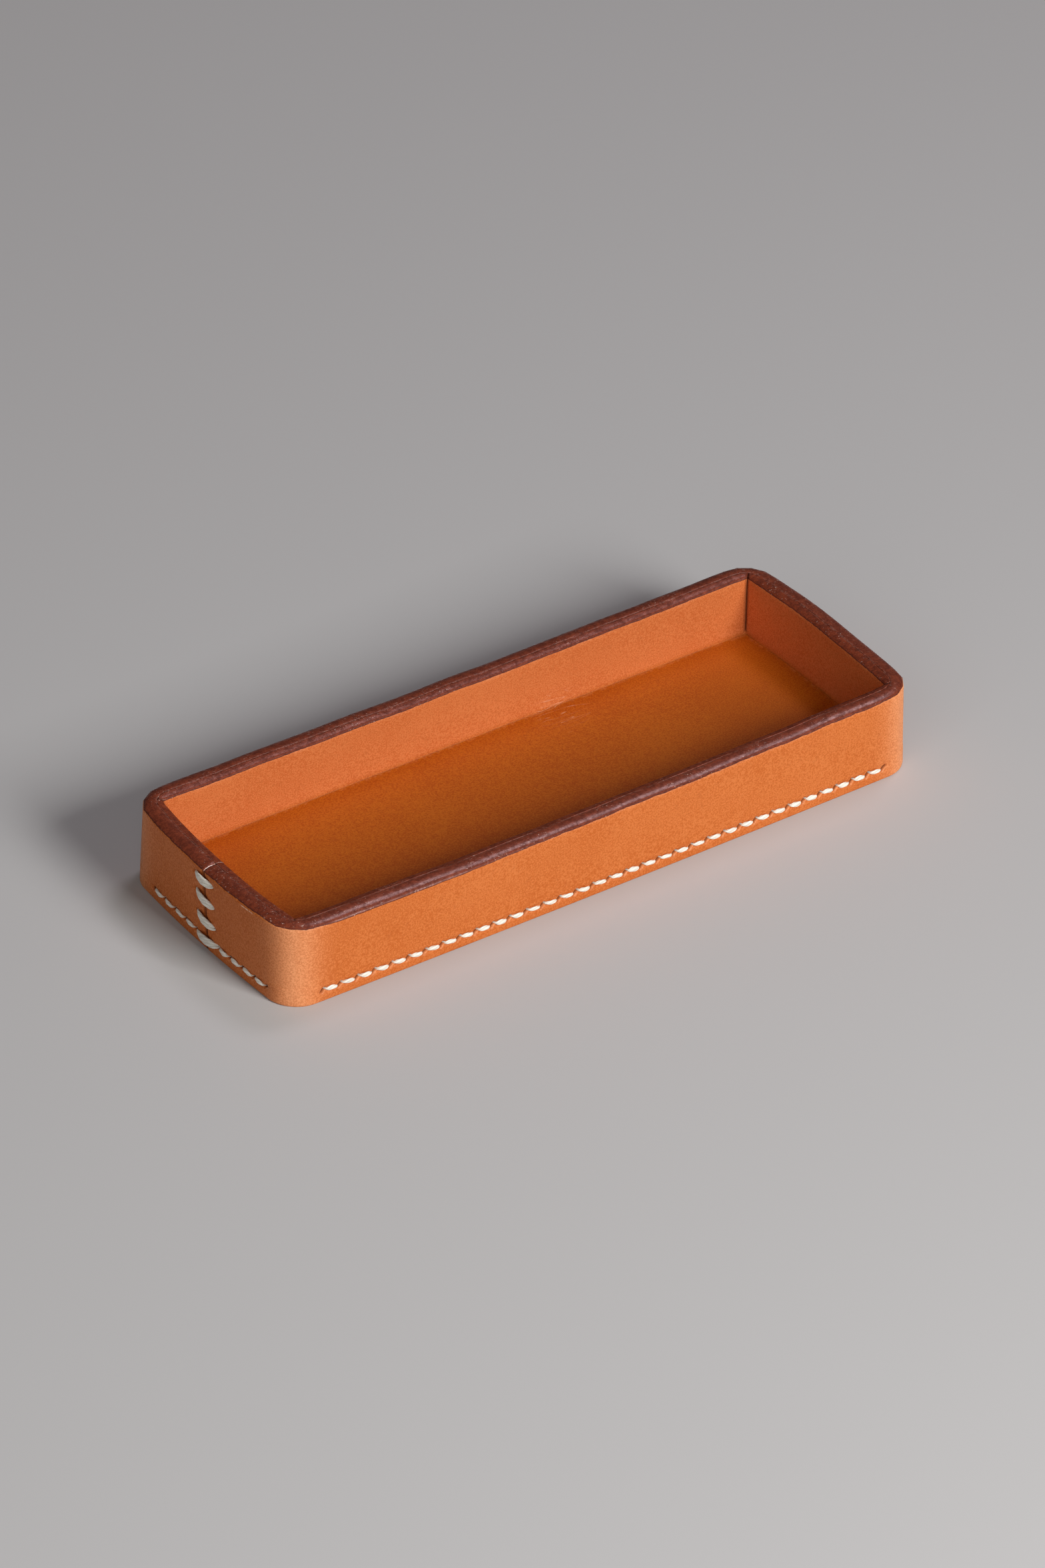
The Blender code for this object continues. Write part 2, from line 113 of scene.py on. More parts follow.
# The joint slants: its foot lies right of its top, and the stitches beside it follow.
jointSlant = {
    "foot": 0.0022,
    "straightBelow": 0.00345,
    "fullReach": 0.0256,
    "noReach": 0.0405,
}


def slid(way, z):
    # way + foot (1 - max(z, straightBelow) / height), fading out from fullReach to noReach from the joint
    fade = 1 - smoothStep(np.abs(fromJoint(way)), jointSlant["fullReach"], jointSlant["noReach"])
    return way + jointSlant["foot"] * (1 - np.maximum(z, jointSlant["straightBelow"]) / height) * fade


def onWall(way, inset, z):
    # (x, y) = c(w) + (R - inset) (cos a(w), sin a(w)), w = slid(way, z), c and a linear between the stops
    way, inset, z = np.broadcast_arrays(way, inset, z)
    way = np.mod(slid(way, z), wholeWay)
    angle = np.interp(way, stops, stopAngle)
    reach = tray["cornerRadius"] - inset
    x = np.interp(way, stops, stopX) + reach * np.cos(angle)
    y = np.interp(way, stops, stopY) + reach * np.sin(angle)
    return np.stack([x, y, z], -1)


def fromJoint(way):
    # the signed way from the joint, to the right as seen from outside
    return np.mod(way + wholeWay / 2, wholeWay) - wholeWay / 2


def spread(start, stop, step):
    # evenly spaced places from start up to, but without, stop
    return np.linspace(start, stop, max(1, round((stop - start) / step)), endpoint=False)


def waver(way, size, longest, seed):
    # size times a sum of four sines, each half as long and high as the one before, over its usual height
    count, usualHeight = 4, 1.5
    phases = np.random.default_rng(seed).uniform(0, 2 * np.pi, count)
    halves = 2.0 ** np.arange(count)
    waves = np.sin(2 * np.pi * np.multiply.outer(way, halves) / longest + phases) / halves
    return size * waves.sum(-1) / usualHeight


def smoothStep(value, low, high):
    # 3 t² - 2 t³, where t goes from 0 at low to 1 at high
    t = np.clip((value - low) / (high - low), 0, 1)
    return t * t * (3 - 2 * t)


# The burnished rim, over the edges of the band and the lining. A waver is its size, longest wave and seed.
rim = {
    "domeReach": 0.003,
    "domeSteps": 14,
    "outerDrop": 0.0012,
    "innerDrop": 0.0009,
    "edgeShare": 0.28,
    "edgePower": 12,
    "seamInset": 0.00375,
    "seamWidth": 0.00005,
    "seamRound": 0.00004,
    "seamMarkWidth": 0.00013,
    "paintDrops": (0.0010, 0.0009, 0.0009, 0.00150, 0.0014, 0.0010, 0.00085, 0.0010, 0.0010),
    "paintWays": (0, 0.022, 0.040, 0.050, 0.075, 0.105, 0.160, 0.200, 0.240),
    "innerPaintDrop": 0.0009,
    "paintWaver": (0.00008, 0.009, 11),
    "innerPaintWaver": (0.00003, 0.012, 12),
    "outerWaver": (0.00006, 0.031, 5),
    "innerWaver": (0.00006, 0.029, 8),
}


def rimTop(inset):
    # height - drop ((1 - edge) a² + edge a^edgePower), where a falls from 1 at a face to 0 at domeReach
    top = height
    for drop, fromFace in ((rim["outerDrop"], inset), (rim["innerDrop"], wallThickness - inset)):
        a = np.clip(1 - fromFace / rim["domeReach"], 0, 1)
        top = top - drop * ((1 - rim["edgeShare"]) * a ** 2 + rim["edgeShare"] * a ** rim["edgePower"])
    return top


def rimLift(ways, z, uneven):
    # a waver that fades in above the lower of the rim's two edges, over two thirds of its drop
    share = smoothStep(z, height - rim["outerDrop"], height - rim["outerDrop"] / 3)
    return share * waver(ways, *uneven)


def seamMark(inset):
    # exp(-d²) with d the distance from the fine line where the two leathers meet, in seamMarkWidths
    return np.exp(-(((inset - rim["seamInset"]) / rim["seamMarkWidth"]) ** 2))


def volumeOf(points, faces):
    # a sixth of the sum of a . (b x c) over the triangles that fan out from each face's first corner
    total = 0.0
    for block in faces:
        corners = points[block]
        total += np.sum(corners[:, :1] * np.cross(corners[:, 1:-1], corners[:, 2:])) / 6
    return total


def addPiece(name, points, faces, material, nodes, marks):
    # each block of faces is an array with a row for each face; they are turned round if they face inwards
    if volumeOf(points, faces) < 0:
        faces = [block[:, ::-1] for block in faces]
    mesh = bpy.data.meshes.new(name)
    mesh.from_pydata(points.tolist(), [], [face for block in faces for face in block.tolist()])
    for markName, values in marks.items():
        kind, key = ("FLOAT", "value") if values.ndim == 1 else ("FLOAT_VECTOR", "vector")
        attribute = mesh.attributes.new(markName, kind, "POINT")
        attribute.data.foreach_set(key, values.ravel().astype(np.float32))
    mesh.materials.append(material)
    mesh.shade_smooth()
    piece = bpy.data.objects.new(name, mesh)
    bpy.context.scene.collection.objects.link(piece)
    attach(piece, "root")
    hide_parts(*nodes)
    return piece


def gridFaces(index):
    # quads between the neighbouring rows and columns of a grid of vertex numbers
    return np.stack([index[:-1, :-1], index[1:, :-1], index[1:, 1:], index[:-1, 1:]], -1).reshape(-1, 4)


# The saddle stitched rows: where their holes lie, and how the thread goes through them. The lip's shares are
# of the slit's half length and half width, and the groove's of its half height.
stitching = {
    "pitch": 0.005,
    "sidePitch": 0.0049,
    "height": 0.00345,
    "rowEndMargin": 0.0019,
    "exitInset": 0.0066,
    "threadDiameter": 0.00095,
    "strandGap": 0.0002,
    "soleLift": 0.00025,
    "slitTilt": math.radians(43),
    "slitHalfLength": 0.00112,
    "slitHalfWidth": 0.0003,
    "slitDepth": 0.0011,
    "slitShadeShares": (0.15, 0.7),
    "lip": 0.00011,
    "lipLengthShare": 1.3,
    "lipBelowShare": 2,
    "lipWidthShare": 0.9,
    "grooveDepth": 0.00022,
    "grooveHalfHeight": 0.00078,
    "grooveSideShares": (0.7, 1.7),
    "grooveStart": 0.0014,
    "grooveFull": 0.0004,
}
strandSpacing = stitching["threadDiameter"] + stitching["strandGap"]
soleThreadHeight = stitching["soleLift"] + stitching["threadDiameter"] / 2


def makeRows():
    # each row: the way to its wall's middle, its first hole from there, its pitch and its number of stitches
    longReach = cornerX - stitching["rowEndMargin"]
    sideReach = cornerY - stitching["rowEndMargin"]
    pitch, sidePitch = stitching["pitch"], stitching["sidePitch"]
    longCount, halfCount = math.floor(2 * longReach / pitch), math.floor(sideReach / sidePitch)
    longFirst, sideFirst = -longCount * pitch / 2, -halfCount * sidePitch
    return {
        "front_thread": (middleOf["front"], longFirst, pitch, longCount),
        "back_thread": (middleOf["back"], longFirst, pitch, longCount),
        "right_thread": (middleOf["right"], sideFirst, sidePitch, 2 * halfCount),
        "left_far_thread": (wholeWay, sideFirst, sidePitch, halfCount - 1),
        "left_near_thread": (middleOf["left"], sidePitch, sidePitch, halfCount - 1),
    }


rows = makeRows()
holesOf = {
    name: middle + first + pitch * np.arange(count + 1)
    for name, (middle, first, pitch, count) in rows.items()
}
allHoles = np.sort(np.concatenate(list(holesOf.values())))

# The lacing across the joint. Each level is a cross stitch, pulled into a trough whose shares are of its half
# height and of the stitch's reach.
lacing = {
    "stitches": 4,
    "strays": (0.0003, 0.0001, 0.0005, 0.0002),
    "slants": (-0.0002, 0.0006, 0.0007, 0.0001),
    "reach": 0.0036,
    "lowestReach": 0.0043,
    "topDrop": 0.0036,
    "leftSpread": 0.00016,
    "rightSpread": 0.0004,
    "startDepth": 0.00015,
    "behind": 0.00065,
    "bow": 0.00034,
    "bulge": 0.00075,
    "plumpness": 0.00034,
    "troughDepth": 0.0003,
    "troughHalfHeight": 0.0014,
    "troughMiddleShare": 1.15,
    "troughTaperShare": 0.75,
    "troughSideShares": (0.5, 1.15),
    "troughEndShares": (0.92, 1.12),
    "slantEndShare": 1.3,
    "holeRadius": 0.00042,
    "holeDepth": 0.0012,
    "holeShadeShares": (0.2, 0.7),
    "grooveHalfWidth": 0.00085,
    "grooveDepth": 0.0007,
    "groovePower": 1.4,
    "grooveStain": 0.8,
    "grooveStainShares": (0.15, 0.7),
    "rimNotch": 0.0003,
}
lowestLevel = stitching["height"] - strandSpacing / 2
levels = np.linspace(lowestLevel, height - lacing["topDrop"], lacing["stitches"]) + lacing["strays"]
reaches = np.array([lacing["lowestReach"]] + [lacing["reach"]] * (lacing["stitches"] - 1))
slants = np.array(lacing["slants"])


def slitMarks(way, z):
    # 1 in the middle of a slit and 0 outside it, in a frame turned by the slit's tilt, and 1 on its lower lip
    fromHole = (way - allHoles[np.abs(way[:, None] - allHoles).argmin(1)])[None, :]
    up = z[:, None] - stitching["height"]
    tilt = stitching["slitTilt"]
    longways = (fromHole * math.cos(tilt) + up * math.sin(tilt)) / stitching["slitHalfLength"]
    across = (up * math.cos(tilt) - fromHole * math.sin(tilt)) / stitching["slitHalfWidth"]
    slit = np.clip(1 - longways ** 2, 0, 1) ** 0.5 * np.exp(-across ** 2)
    lip = np.clip(1 - (longways / stitching["lipLengthShare"]) ** 2, 0, 1)
    lip = lip * np.exp(-(((across + stitching["lipBelowShare"]) / stitching["lipWidthShare"]) ** 2))
    return slit, lip


def rowMark(way):
    # 1 between a row's first and last hole, with soft ends
    outer, inner = stitching["grooveStart"], stitching["grooveFull"]
    inRow = np.zeros_like(way)
    for holes in holesOf.values():
        start = smoothStep(way, holes[0] - outer, holes[0] - inner)
        stop = smoothStep(-way, -holes[-1] - outer, -holes[-1] - inner)
        inRow = np.maximum(inRow, start * stop)
    return inRow


def jointGroove(way):
    # 1 at the joint, falling evenly to 0 at grooveHalfWidth from it
    return np.clip(1 - np.abs(fromJoint(way)) / lacing["grooveHalfWidth"], 0, 1)[None, :]


def laced(aside, up, reach, slant):
    # 1 along a cross stitch, in a trough that follows its slant and narrows towards its ends, and exp(-d²)
    # round each of its holes, with d the distance from the hole in holeRadii
    t = np.clip(aside / reach, -lacing["slantEndShare"], lacing["slantEndShare"])
    share = lacing["troughMiddleShare"] - lacing["troughTaperShare"] * np.minimum(np.abs(t), 1) ** 2
    off = (up + slant * t) / (lacing["troughHalfHeight"] * share)
    endLow, endHigh = (reach * endShare for endShare in lacing["troughEndShares"])
    trough = 1 - smoothStep(np.abs(off), *lacing["troughSideShares"])
    trough = trough * (1 - smoothStep(np.abs(aside), endLow, endHigh))
    gaps = [np.hypot(aside - side * reach, up + side * slant) / lacing["holeRadius"] for side in (-1, 1)]
    return trough, [np.exp(-gap ** 2) for gap in gaps]


def faceSink(way, z):
    # How far the outer face lies in: the row's groove, the slits less their lips, the lacing's troughs and
    # holes, and the V along the joint. The other results are the painted shade of the slits and holes with
    # the dark joint, and the lips.
    up = np.abs(z[:, None] - stitching["height"])
    low, high = (share * stitching["grooveHalfHeight"] for share in stitching["grooveSideShares"])
    sink = rowMark(way)[None, :] * stitching["grooveDepth"] * (1 - smoothStep(up, low, high))
    slit, lip = slitMarks(way, z)
    sink += stitching["slitDepth"] * slit - stitching["lip"] * lip
    # painted shade in the slits
    shadeAndJoints = smoothStep(slit, *stitching["slitShadeShares"])
    aside = fromJoint(way)[None, :]
    for level, reach, slant in zip(levels, reaches, slants):
        trough, holes = laced(aside, z[:, None] - level, reach, slant)
        sink = np.maximum(sink, lacing["troughDepth"] * trough)
        for hole in holes:
            sink += lacing["holeDepth"] * hole
            # painted shade in the lacing's holes
            shadeAndJoints = np.maximum(shadeAndJoints, smoothStep(hole, *lacing["holeShadeShares"]))
    groove = jointGroove(way)
    sink += lacing["grooveDepth"] * groove ** lacing["groovePower"]
    shadeAndJoints = np.maximum(shadeAndJoints, lacing["grooveStain"] * smoothStep(groove, *lacing["grooveStainShares"]))
    return sink, shadeAndJoints, lip


# The outer band, walked round from one of its ends to the other.
band = {
    "footRound": 0.0006,
    "footInside": 0.0022,
    "roundSteps": 4,
    "stripFoot": 0.0018,
    "stripTop": 0.0052,
    "footStep": 0.0004,
    "fineStep": 0.00018,
    "plainStep": 0.0009,
    "jointStep": 0.0001,
    "jointShort": 0.0008,
    "nearHole": 0.00108,
    "finePerPlain": 4,
    "troughStep": 0.0003,
    "troughReach": 0.0018,
    "troughClear": 0.0024,
    "stepsBetween": 4,
    "closest": 0.0001,
    "rimCrowding": 2,
    "sunkRimRows": 3,
    "innerHeights": (0.021, 0.012, 0.004, 0.0),
    # painted highlight: how far the sheen spreads from each rounded corner, and its share on the slits' lips
    "cornerSheenReach": 0.0065,
    "lipHighlight": 0.75,
}


def makeColumns():
    # the joint, then each hole's close columns, then the wider ones between, in whole blocks of finePerPlain
    edge, near, block = tray["jointGap"] / 2, band["nearHole"], band["finePerPlain"]
    knots = [edge, lacing["lowestReach"] - band["jointShort"]]
    steps = [band["jointStep"]]
    for hole in allHoles:
        knots += [hole - near, hole + near]
        steps += [band["plainStep"], band["fineStep"]]
    knots += [wholeWay - lacing["lowestReach"] + band["jointShort"], wholeWay - edge]
    steps += [band["plainStep"], band["jointStep"]]
    parts = []
    for start, stop, step in zip(knots[:-1], knots[1:], steps):
        count = block * max(1, round((stop - start) / step / block))
        parts.append(np.linspace(start, stop, count, endpoint=False))
    return np.append(np.concatenate(parts), wholeWay - edge)


def lowProfile():
    # inset and height up the foot's quarter round and over the stitched strip
    foot = band["footRound"]
    turn = np.linspace(0, math.pi / 2, band["roundSteps"])
    below = spread(foot, band["stripFoot"], band["footStep"])[1:]
    strip = np.arange(band["stripFoot"], band["stripTop"], band["fineStep"])
    inset = np.concatenate([foot * (1 - np.sin(turn)), np.zeros(len(below) + len(strip))])
    return inset, np.concatenate([foot * (1 - np.cos(turn)), below, strip])


def highProfile(faceTop):
    # inset and height up the rest of the face, with close rows at the lacing, over the rim and down into the
    # seam, then down the inner face and under the foot; and how many of the rows lie on the face
    step, reach, clear = band["troughStep"], band["troughReach"], band["troughClear"]
    troughs = [np.arange(level - reach, level + reach, step) for level in levels[1:]]
    lows, highs = [band["stripTop"] + step, *(levels[1:] + clear)], [*(levels[1:] - clear), faceTop]
    between = [np.linspace(low, high, band["stepsBetween"]) for low, high in zip(lows, highs)]
    faceZ = np.sort(np.concatenate(troughs + between))
    isApart = np.append(np.diff(faceZ) > band["closest"], True)
    faceZ = faceZ[isApart & (faceZ < faceTop - band["closest"])]
    seam = rim["seamInset"] - rim["seamWidth"] / 2
    topInset = (seam - rim["seamRound"]) * np.linspace(0, 1, rim["domeSteps"]) ** band["rimCrowding"]
    turn = np.linspace(0, math.pi / 2, band["roundSteps"])[1:]
    seamInset = seam - rim["seamRound"] * (1 - np.sin(turn))
    seamZ = rimTop(seamInset) - rim["seamRound"] * (1 - np.cos(turn))
    innerInset = [seam] + [tray["bandThickness"]] * (len(band["innerHeights"]) - 1) + [band["footInside"]]
    inset = np.concatenate([np.zeros(len(faceZ)), topInset, seamInset, innerInset])
    z = np.concatenate([faceZ, rimTop(topInset), seamZ, band["innerHeights"], [0.0]])
    return inset, z, len(faceZ)


def outerPaint(ways, z):
    # the height above the dye's lower border, which follows paintDrops along paintWays and wavers
    drop = np.interp(ways, rim["paintWays"], rim["paintDrops"])
    return millimetres * (z - height + drop + waver(ways, *rim["paintWaver"]))


def makeBand(material):
    # place = onWall(way, inset + sink, z + lift) for every way and every row of the two profiles
    way = makeColumns()
    plain = way[:: band["finePerPlain"]]
    faceTop = rimTop(np.array(0.0))

    # The foot's round and the stitched strip have every column.
    lowInset, lowZ = lowProfile()
    sink, lowShadeAndJoints, lip = faceSink(way, lowZ)
    onFace = (lowInset < band["footRound"] / 2)[:, None]
    low = onWall(way, lowInset[:, None] + sink * onFace, lowZ[:, None])

    # The rest has the plain ones.
    highInset, highZ, faceRows = highProfile(faceTop)
    sink, highShadeAndJoints, _ = faceSink(plain, highZ)
    row = np.arange(len(highZ))[:, None]
    isFace = row < faceRows + band["sunkRimRows"]
    isRim = (row >= faceRows) & (highZ[:, None] > faceTop - band["closest"])
    lift = rimLift(plain[None, :], highZ[:, None], rim["outerWaver"])
    lift = lift - lacing["rimNotch"] * jointGroove(plain) ** 2
    high = onWall(plain, highInset[:, None] + sink * isFace, highZ[:, None] + lift * isRim)

    points = settled(np.concatenate([low.reshape(-1, 3), high.reshape(-1, 3)]))
    lowIndex = np.arange(len(lowZ) * len(way)).reshape(len(lowZ), -1)
    highIndex = lowIndex.size + np.arange(len(highZ) * len(plain)).reshape(len(highZ), -1)

    def step(plainRow, fineRow):
        # each plain column's span against its block of fine ones
        block = band["finePerPlain"]
        spans = np.arange(0, len(way) - 1, block)[:, None] + np.arange(block, -1, -1)
        return np.column_stack([plainRow[:-1], plainRow[1:], fineRow[spans]])

    ends = [np.concatenate([lowIndex[:, k], highIndex[:, k]]) for k in (0, -1)]
    faces = [
        gridFaces(lowIndex),
        gridFaces(highIndex),
        step(highIndex[0], lowIndex[-1]),
        step(highIndex[-1], lowIndex[0])[:, ::-1],
        ends[0][None, ::-1],
        ends[1][None, :],
    ]

    z = np.concatenate([np.repeat(lowZ, len(way)), np.repeat(highZ, len(plain))])
    ways = np.concatenate([np.tile(way, len(lowZ)), np.tile(plain, len(highZ))])
    onTop = (isRim * seamMark(highInset)[:, None] * np.ones(len(plain))).ravel()
    # Painted highlight: paler round the rounded corners, where the sheen falls, and on the lips below the
    # slits.
    toCorner = np.abs(ways[:, None] - cornerWays).min(1)
    paintedHighlight = np.exp(-((toCorner / band["cornerSheenReach"]) ** 2))
    paintedHighlight[: lowIndex.size] = np.maximum(paintedHighlight[: lowIndex.size], band["lipHighlight"] * lip.ravel())
    marks = {
        "paint": outerPaint(ways, z),
        "shadeAndJoints": np.concatenate([lowShadeAndJoints.ravel(), np.where(isFace, highShadeAndJoints, 0).ravel()]),
        "seam": np.append(np.zeros(lowIndex.size), onTop),
        "joint": np.where(z > faceTop, millimetres * np.abs(fromJoint(ways)), farAway),
        "paintedHighlight": paintedHighlight,
    }
    return addPiece("outer_band_hide", points, faces, material, ["outer_band"], marks)


# The lining: a floor whose four sides fold up into mitred flaps.
lining = {
    "creaseRadius": 0.00035,
    "flapGap": 0.00022,
    "step": 0.0009,
    "creaseSteps": 7,
    "wallSteps": 16,
    "rimCrowding": 1.6,
    "floorInset": 0.02,
    "weld": 0.000002,
    # painted shade in the crease
    "creaseShade": 0.28,
    "creaseShadeWaver": (0.1, 0.019, 31),
    "creaseShadeSharpness": 3,
    # painted highlight: a pale line along the floor's edge, where its ridge catches light
    "ridgeHighlight": 0.22,
    "ridgeHighlightWaver": (0.12, 0.023, 32),
    "ridgeWidth": 0.00001,
    "cornerStain": 0.6,
    "cornerStainReach": 0.0004,
    "cornerStainFoot": 0.001,
}


def flapProfile():
    # The inside goes round the crease, up the wall and over the rim; the back goes the same way outside.
    crease, thick = lining["creaseRadius"], tray["liningThickness"]
    turn = np.linspace(0, math.pi / 2, lining["creaseSteps"])
    wallTop = rimTop(np.array(wallThickness))
    wallZ = np.linspace(floorTop + crease, wallTop, lining["wallSteps"])[1:]
    seam = rim["seamInset"] + rim["seamWidth"] / 2
    shares = np.linspace(0, 1, rim["domeSteps"])[1:] ** lining["rimCrowding"]
    overInset = wallThickness - (wallThickness - (seam + rim["seamRound"])) * shares
    roundInset = wallThickness + crease * (1 - np.sin(turn))
    insideInset = np.concatenate([roundInset, np.full(len(wallZ), wallThickness), overInset])
    insideZ = np.concatenate([floorTop + crease * (1 - np.cos(turn)), wallZ, rimTop(overInset)])

    outside = crease + thick
    backInset = tray["bandThickness"] + tray["glueGap"]
    edgeZ = rimTop(overInset[-1]) - rim["seamRound"]
    overBack = np.linspace(backInset, seam, len(overInset) + 1)[1:]
    overBackZ = np.linspace(wallTop, edgeZ, len(overInset) + 1)[1:]
    roundBack = wallThickness + crease - outside * np.sin(turn)
    backInsets = np.concatenate([roundBack, np.full(len(wallZ), backInset), overBack])
    backZ = np.concatenate([floorTop - thick + outside * (1 - np.cos(turn)), wallZ, overBackZ])
    return insideInset, insideZ, backInsets, backZ


def cornerShare(w, half):
    # The share of the lining's thickness that is left inside the band's rounded corner. With u the way in
    # from the corner's centre line, b = (1 - w) (half - R) and r the radius there: u² + (w u - b)² = r².
    radius = tray["cornerRadius"] - tray["bandThickness"] - tray["glueGap"]
    inside = tray["cornerRadius"] - wallThickness
    w = np.abs(w)
    b = (1 - w) * (half - tray["cornerRadius"])
    root = np.sqrt(np.maximum((w * b) ** 2 - (1 + w * w) * (b * b - radius * radius), 0))
    u = (w * b + root) / (1 + w * w)
    u = np.where(w * u > b, u, radius)
    return (u - inside) / (radius - inside)


def makeFlap(inset, z, along, half, halfAcross, isOpen):
    # place across = halfAcross - inset, place along = w (half - inset - gap), for w from -1 to 1
    inset = np.broadcast_to(inset[:, None], (len(inset), len(along)))
    thinned = wallThickness - (wallThickness - inset) * cornerShare(along, half)
    inset = np.where(inset < wallThickness, thinned, inset)
    gap = lining["flapGap"] / 2 * isOpen[:, None]
    return halfAcross - inset, along * (half - inset - gap), np.broadcast_to(z[:, None], inset.shape)


def makeLiningShape():
    # four flaps, each an inside, a back and the strips that close its edges, and the floor's two faces
    insideInset, insideZ, backInset, backZ = flapProfile()
    foldEnd = lining["creaseSteps"] - 1
    isOpen = smoothStep(np.arange(len(insideZ)), foldEnd, foldEnd + 2)
    alongX = np.linspace(-1, 1, 2 * round(halfLength / lining["step"]) + 1)
    alongY = np.linspace(-1, 1, 2 * round(halfWidth / lining["step"]) + 1)
    blocks, faces, insets, inner = [], [], [], []

    def addGrid(x, y, z, inset, isInner):
        index = sum(map(len, blocks)) + np.arange(x.size).reshape(x.shape)
        blocks.append(np.stack([x, y, z], -1).reshape(-1, 3))
        faces.append(gridFaces(index))
        insets.append(np.broadcast_to(inset, x.shape).ravel())
        inner.append(np.full(x.size, isInner))
        return index

    def addFlap(along, half, halfAcross, side, isLong):
        grids = []
        for inset, z, isInner in ((insideInset, insideZ, True), (backInset, backZ, False)):
            across, place, up = makeFlap(inset, z, along, half, halfAcross, isOpen)
            x, y = (place, side * across) if isLong else (side * across, place)
            grids.append(addGrid(x, y, up, inset[:, None], isInner))
        inside, back = grids
        faces.append(gridFaces(np.stack([inside[-1], back[-1]])))
        for k in (0, -1):
            faces.append(gridFaces(np.stack([inside[foldEnd:, k], back[foldEnd:, k]])))

    for side in (-1, 1):
        addFlap(alongX, halfLength, halfWidth, side, True)
    for side in (-1, 1):
        addFlap(alongY, halfWidth, halfLength, side, False)
    floorX, floorY = np.meshgrid(alongX, alongY, indexing="ij")
    reach = wallThickness + lining["creaseRadius"]
    for z, isInner in ((floorTop, True), (floorTop - tray["liningThickness"], False)):
        x, y = floorX * (halfLength - reach), floorY * (halfWidth - reach)
        addGrid(x, y, np.full(x.shape, z), lining["floorInset"], isInner)
    return np.concatenate(blocks), [np.concatenate(faces)], np.concatenate(insets), np.concatenate(inner)


def liningMarks(points, inset, isInner, isRim):
    # Painted shade is exp(-3 d²) in the crease, with d the distance from its middle in creaseRadii; the dark
    # joints are exp(-d²) up the four corners. A pale line along the floor's edge is a painted highlight.
    x, y, z = points.T
    way, crease = x + y, lining["creaseRadius"]
    fold = (1 - math.sqrt(0.5)) * crease
    fromFold = np.hypot(z - floorTop - fold, inset - wallThickness - fold)
    depth = lining["creaseShade"] + waver(way, *lining["creaseShadeWaver"])
    shadeAndJoints = depth * isInner * np.exp(-((fromFold / crease) ** 2) * lining["creaseShadeSharpness"])
    toCorner = np.hypot(halfLength - wallThickness - np.abs(x), halfWidth - wallThickness - np.abs(y))
    corner = np.exp(-((toCorner / lining["cornerStainReach"]) ** 2))
    isAbove = z > floorTop + lining["cornerStainFoot"]
    onRidge = np.hypot(z - floorTop, inset - wallThickness - crease) < lining["ridgeWidth"]
    paint = z - height + rim["innerPaintDrop"] + waver(way, *rim["innerPaintWaver"])
    return {
        "paint": millimetres * paint,
        "shadeAndJoints": np.maximum(shadeAndJoints, lining["cornerStain"] * corner * isInner * isAbove),
        "seam": np.where(isRim, seamMark(inset), 0),
        "joint": np.where(isRim & (x < 0), millimetres * np.abs(y), farAway),
        "floor": 1 - smoothStep(z, floorTop, floorTop + 2 * crease),
        # painted highlight along the floor's edge
        "paintedHighlight": isInner * (lining["ridgeHighlight"] + waver(way, *lining["ridgeHighlightWaver"])) * onRidge,
    }


def makeLining(material):
    # z + rimLift on the rim; the blocks' shared edges are then welded
    points, faces, inset, isInner = makeLiningShape()
    z = points[:, 2]
    isRim = isInner & (z > rimTop(np.array(wallThickness)))
    lift = rimLift(points[:, 0] + points[:, 1], z, rim["innerWaver"])
    points[:, 2] += np.where(isRim, lift, 0)
    marks = liningMarks(points, inset, isInner, isRim)
    piece = addPiece("lining_hide", settled(points), faces, material, ["lining"], marks)
    bm = bmesh.new()
    bm.from_mesh(piece.data)
    bmesh.ops.remove_doubles(bm, verts=bm.verts, dist=lining["weld"])
    bmesh.ops.recalc_face_normals(bm, faces=bm.faces)
    bm.to_mesh(piece.data)
    bm.free()
    return piece


# The threads: three plies, wider than they are thick, and plumper on the stitches that show.
thread = {
    "stepsPerRun": 14,
    "sides": 14,
    "rounding": 3,
    "bulge": 0.0002,
    "bow": 0.0001,
    "bowJitter": 3,
    "underBulge": 0.00008,
    "halfWidth": 0.00034,
    "halfThickness": 0.0003,
    "plumpness": 0.00033,
    "plumpPower": 0.7,
    "plumpThicknessShare": 0.2,
    "startAlong": 0.00105,
    "startUp": 0.0002,
    "startDepth": 0.00005,
    "diveAlong": 0.00072,
    "diveUp": 0.00012,
    "diveDepth": 0.0011,
    "plies": 3,
    "lobe": 0.075,
    "lay": 0.0026,
    "layRadius": 0.0005,
    "jitter": 0.22,
    "firstSeed": 20,
}


def strandPath(first, pitch, count, firstOutside):
    # One needle's way, as (along, depth, height): over a stitch outside, then under the next one inside. A
    # stitch starts right of and above the middle of its left slit, ends left of and below that of its right
    # one, and turns into the leather at both. Under the sole the left stitch's strand lies to the left.
    half, exitInset = strandSpacing / 2, stitching["exitInset"]
    innerAlong = half * math.cos(stitching["slitTilt"] / 2)
    innerDepth = half * (pitch + 2 * innerAlong) / pitch
    dive = np.array([thread["diveAlong"], thread["diveDepth"], thread["diveUp"]])
    start = np.array([thread["startAlong"], thread["startDepth"], thread["startUp"]])
    offsets = np.array([dive, start, start * [-1, 1, -1], dive * [-1, 1, -1]])
    points = []
    for number in range(count):
        left, right = first + pitch * number, first + pitch * (number + 1)
        if (number % 2 == 0) == firstOutside:
            holes = np.array([left, left, right, right])
            points += list(offsets + np.stack([holes, 0 * holes, 0 * holes + stitching["height"]], -1))
        else:
            side = 1 if number == 0 else -1
            points.append([left + side * innerAlong, exitInset + side * innerDepth, soleThreadHeight])
            points.append([right + innerAlong, exitInset + innerDepth, soleThreadHeight])
    if (count % 2 == 1) == firstOutside:
        points.append([first + pitch * count - innerAlong, exitInset - innerDepth, soleThreadHeight])
    return np.array(points)


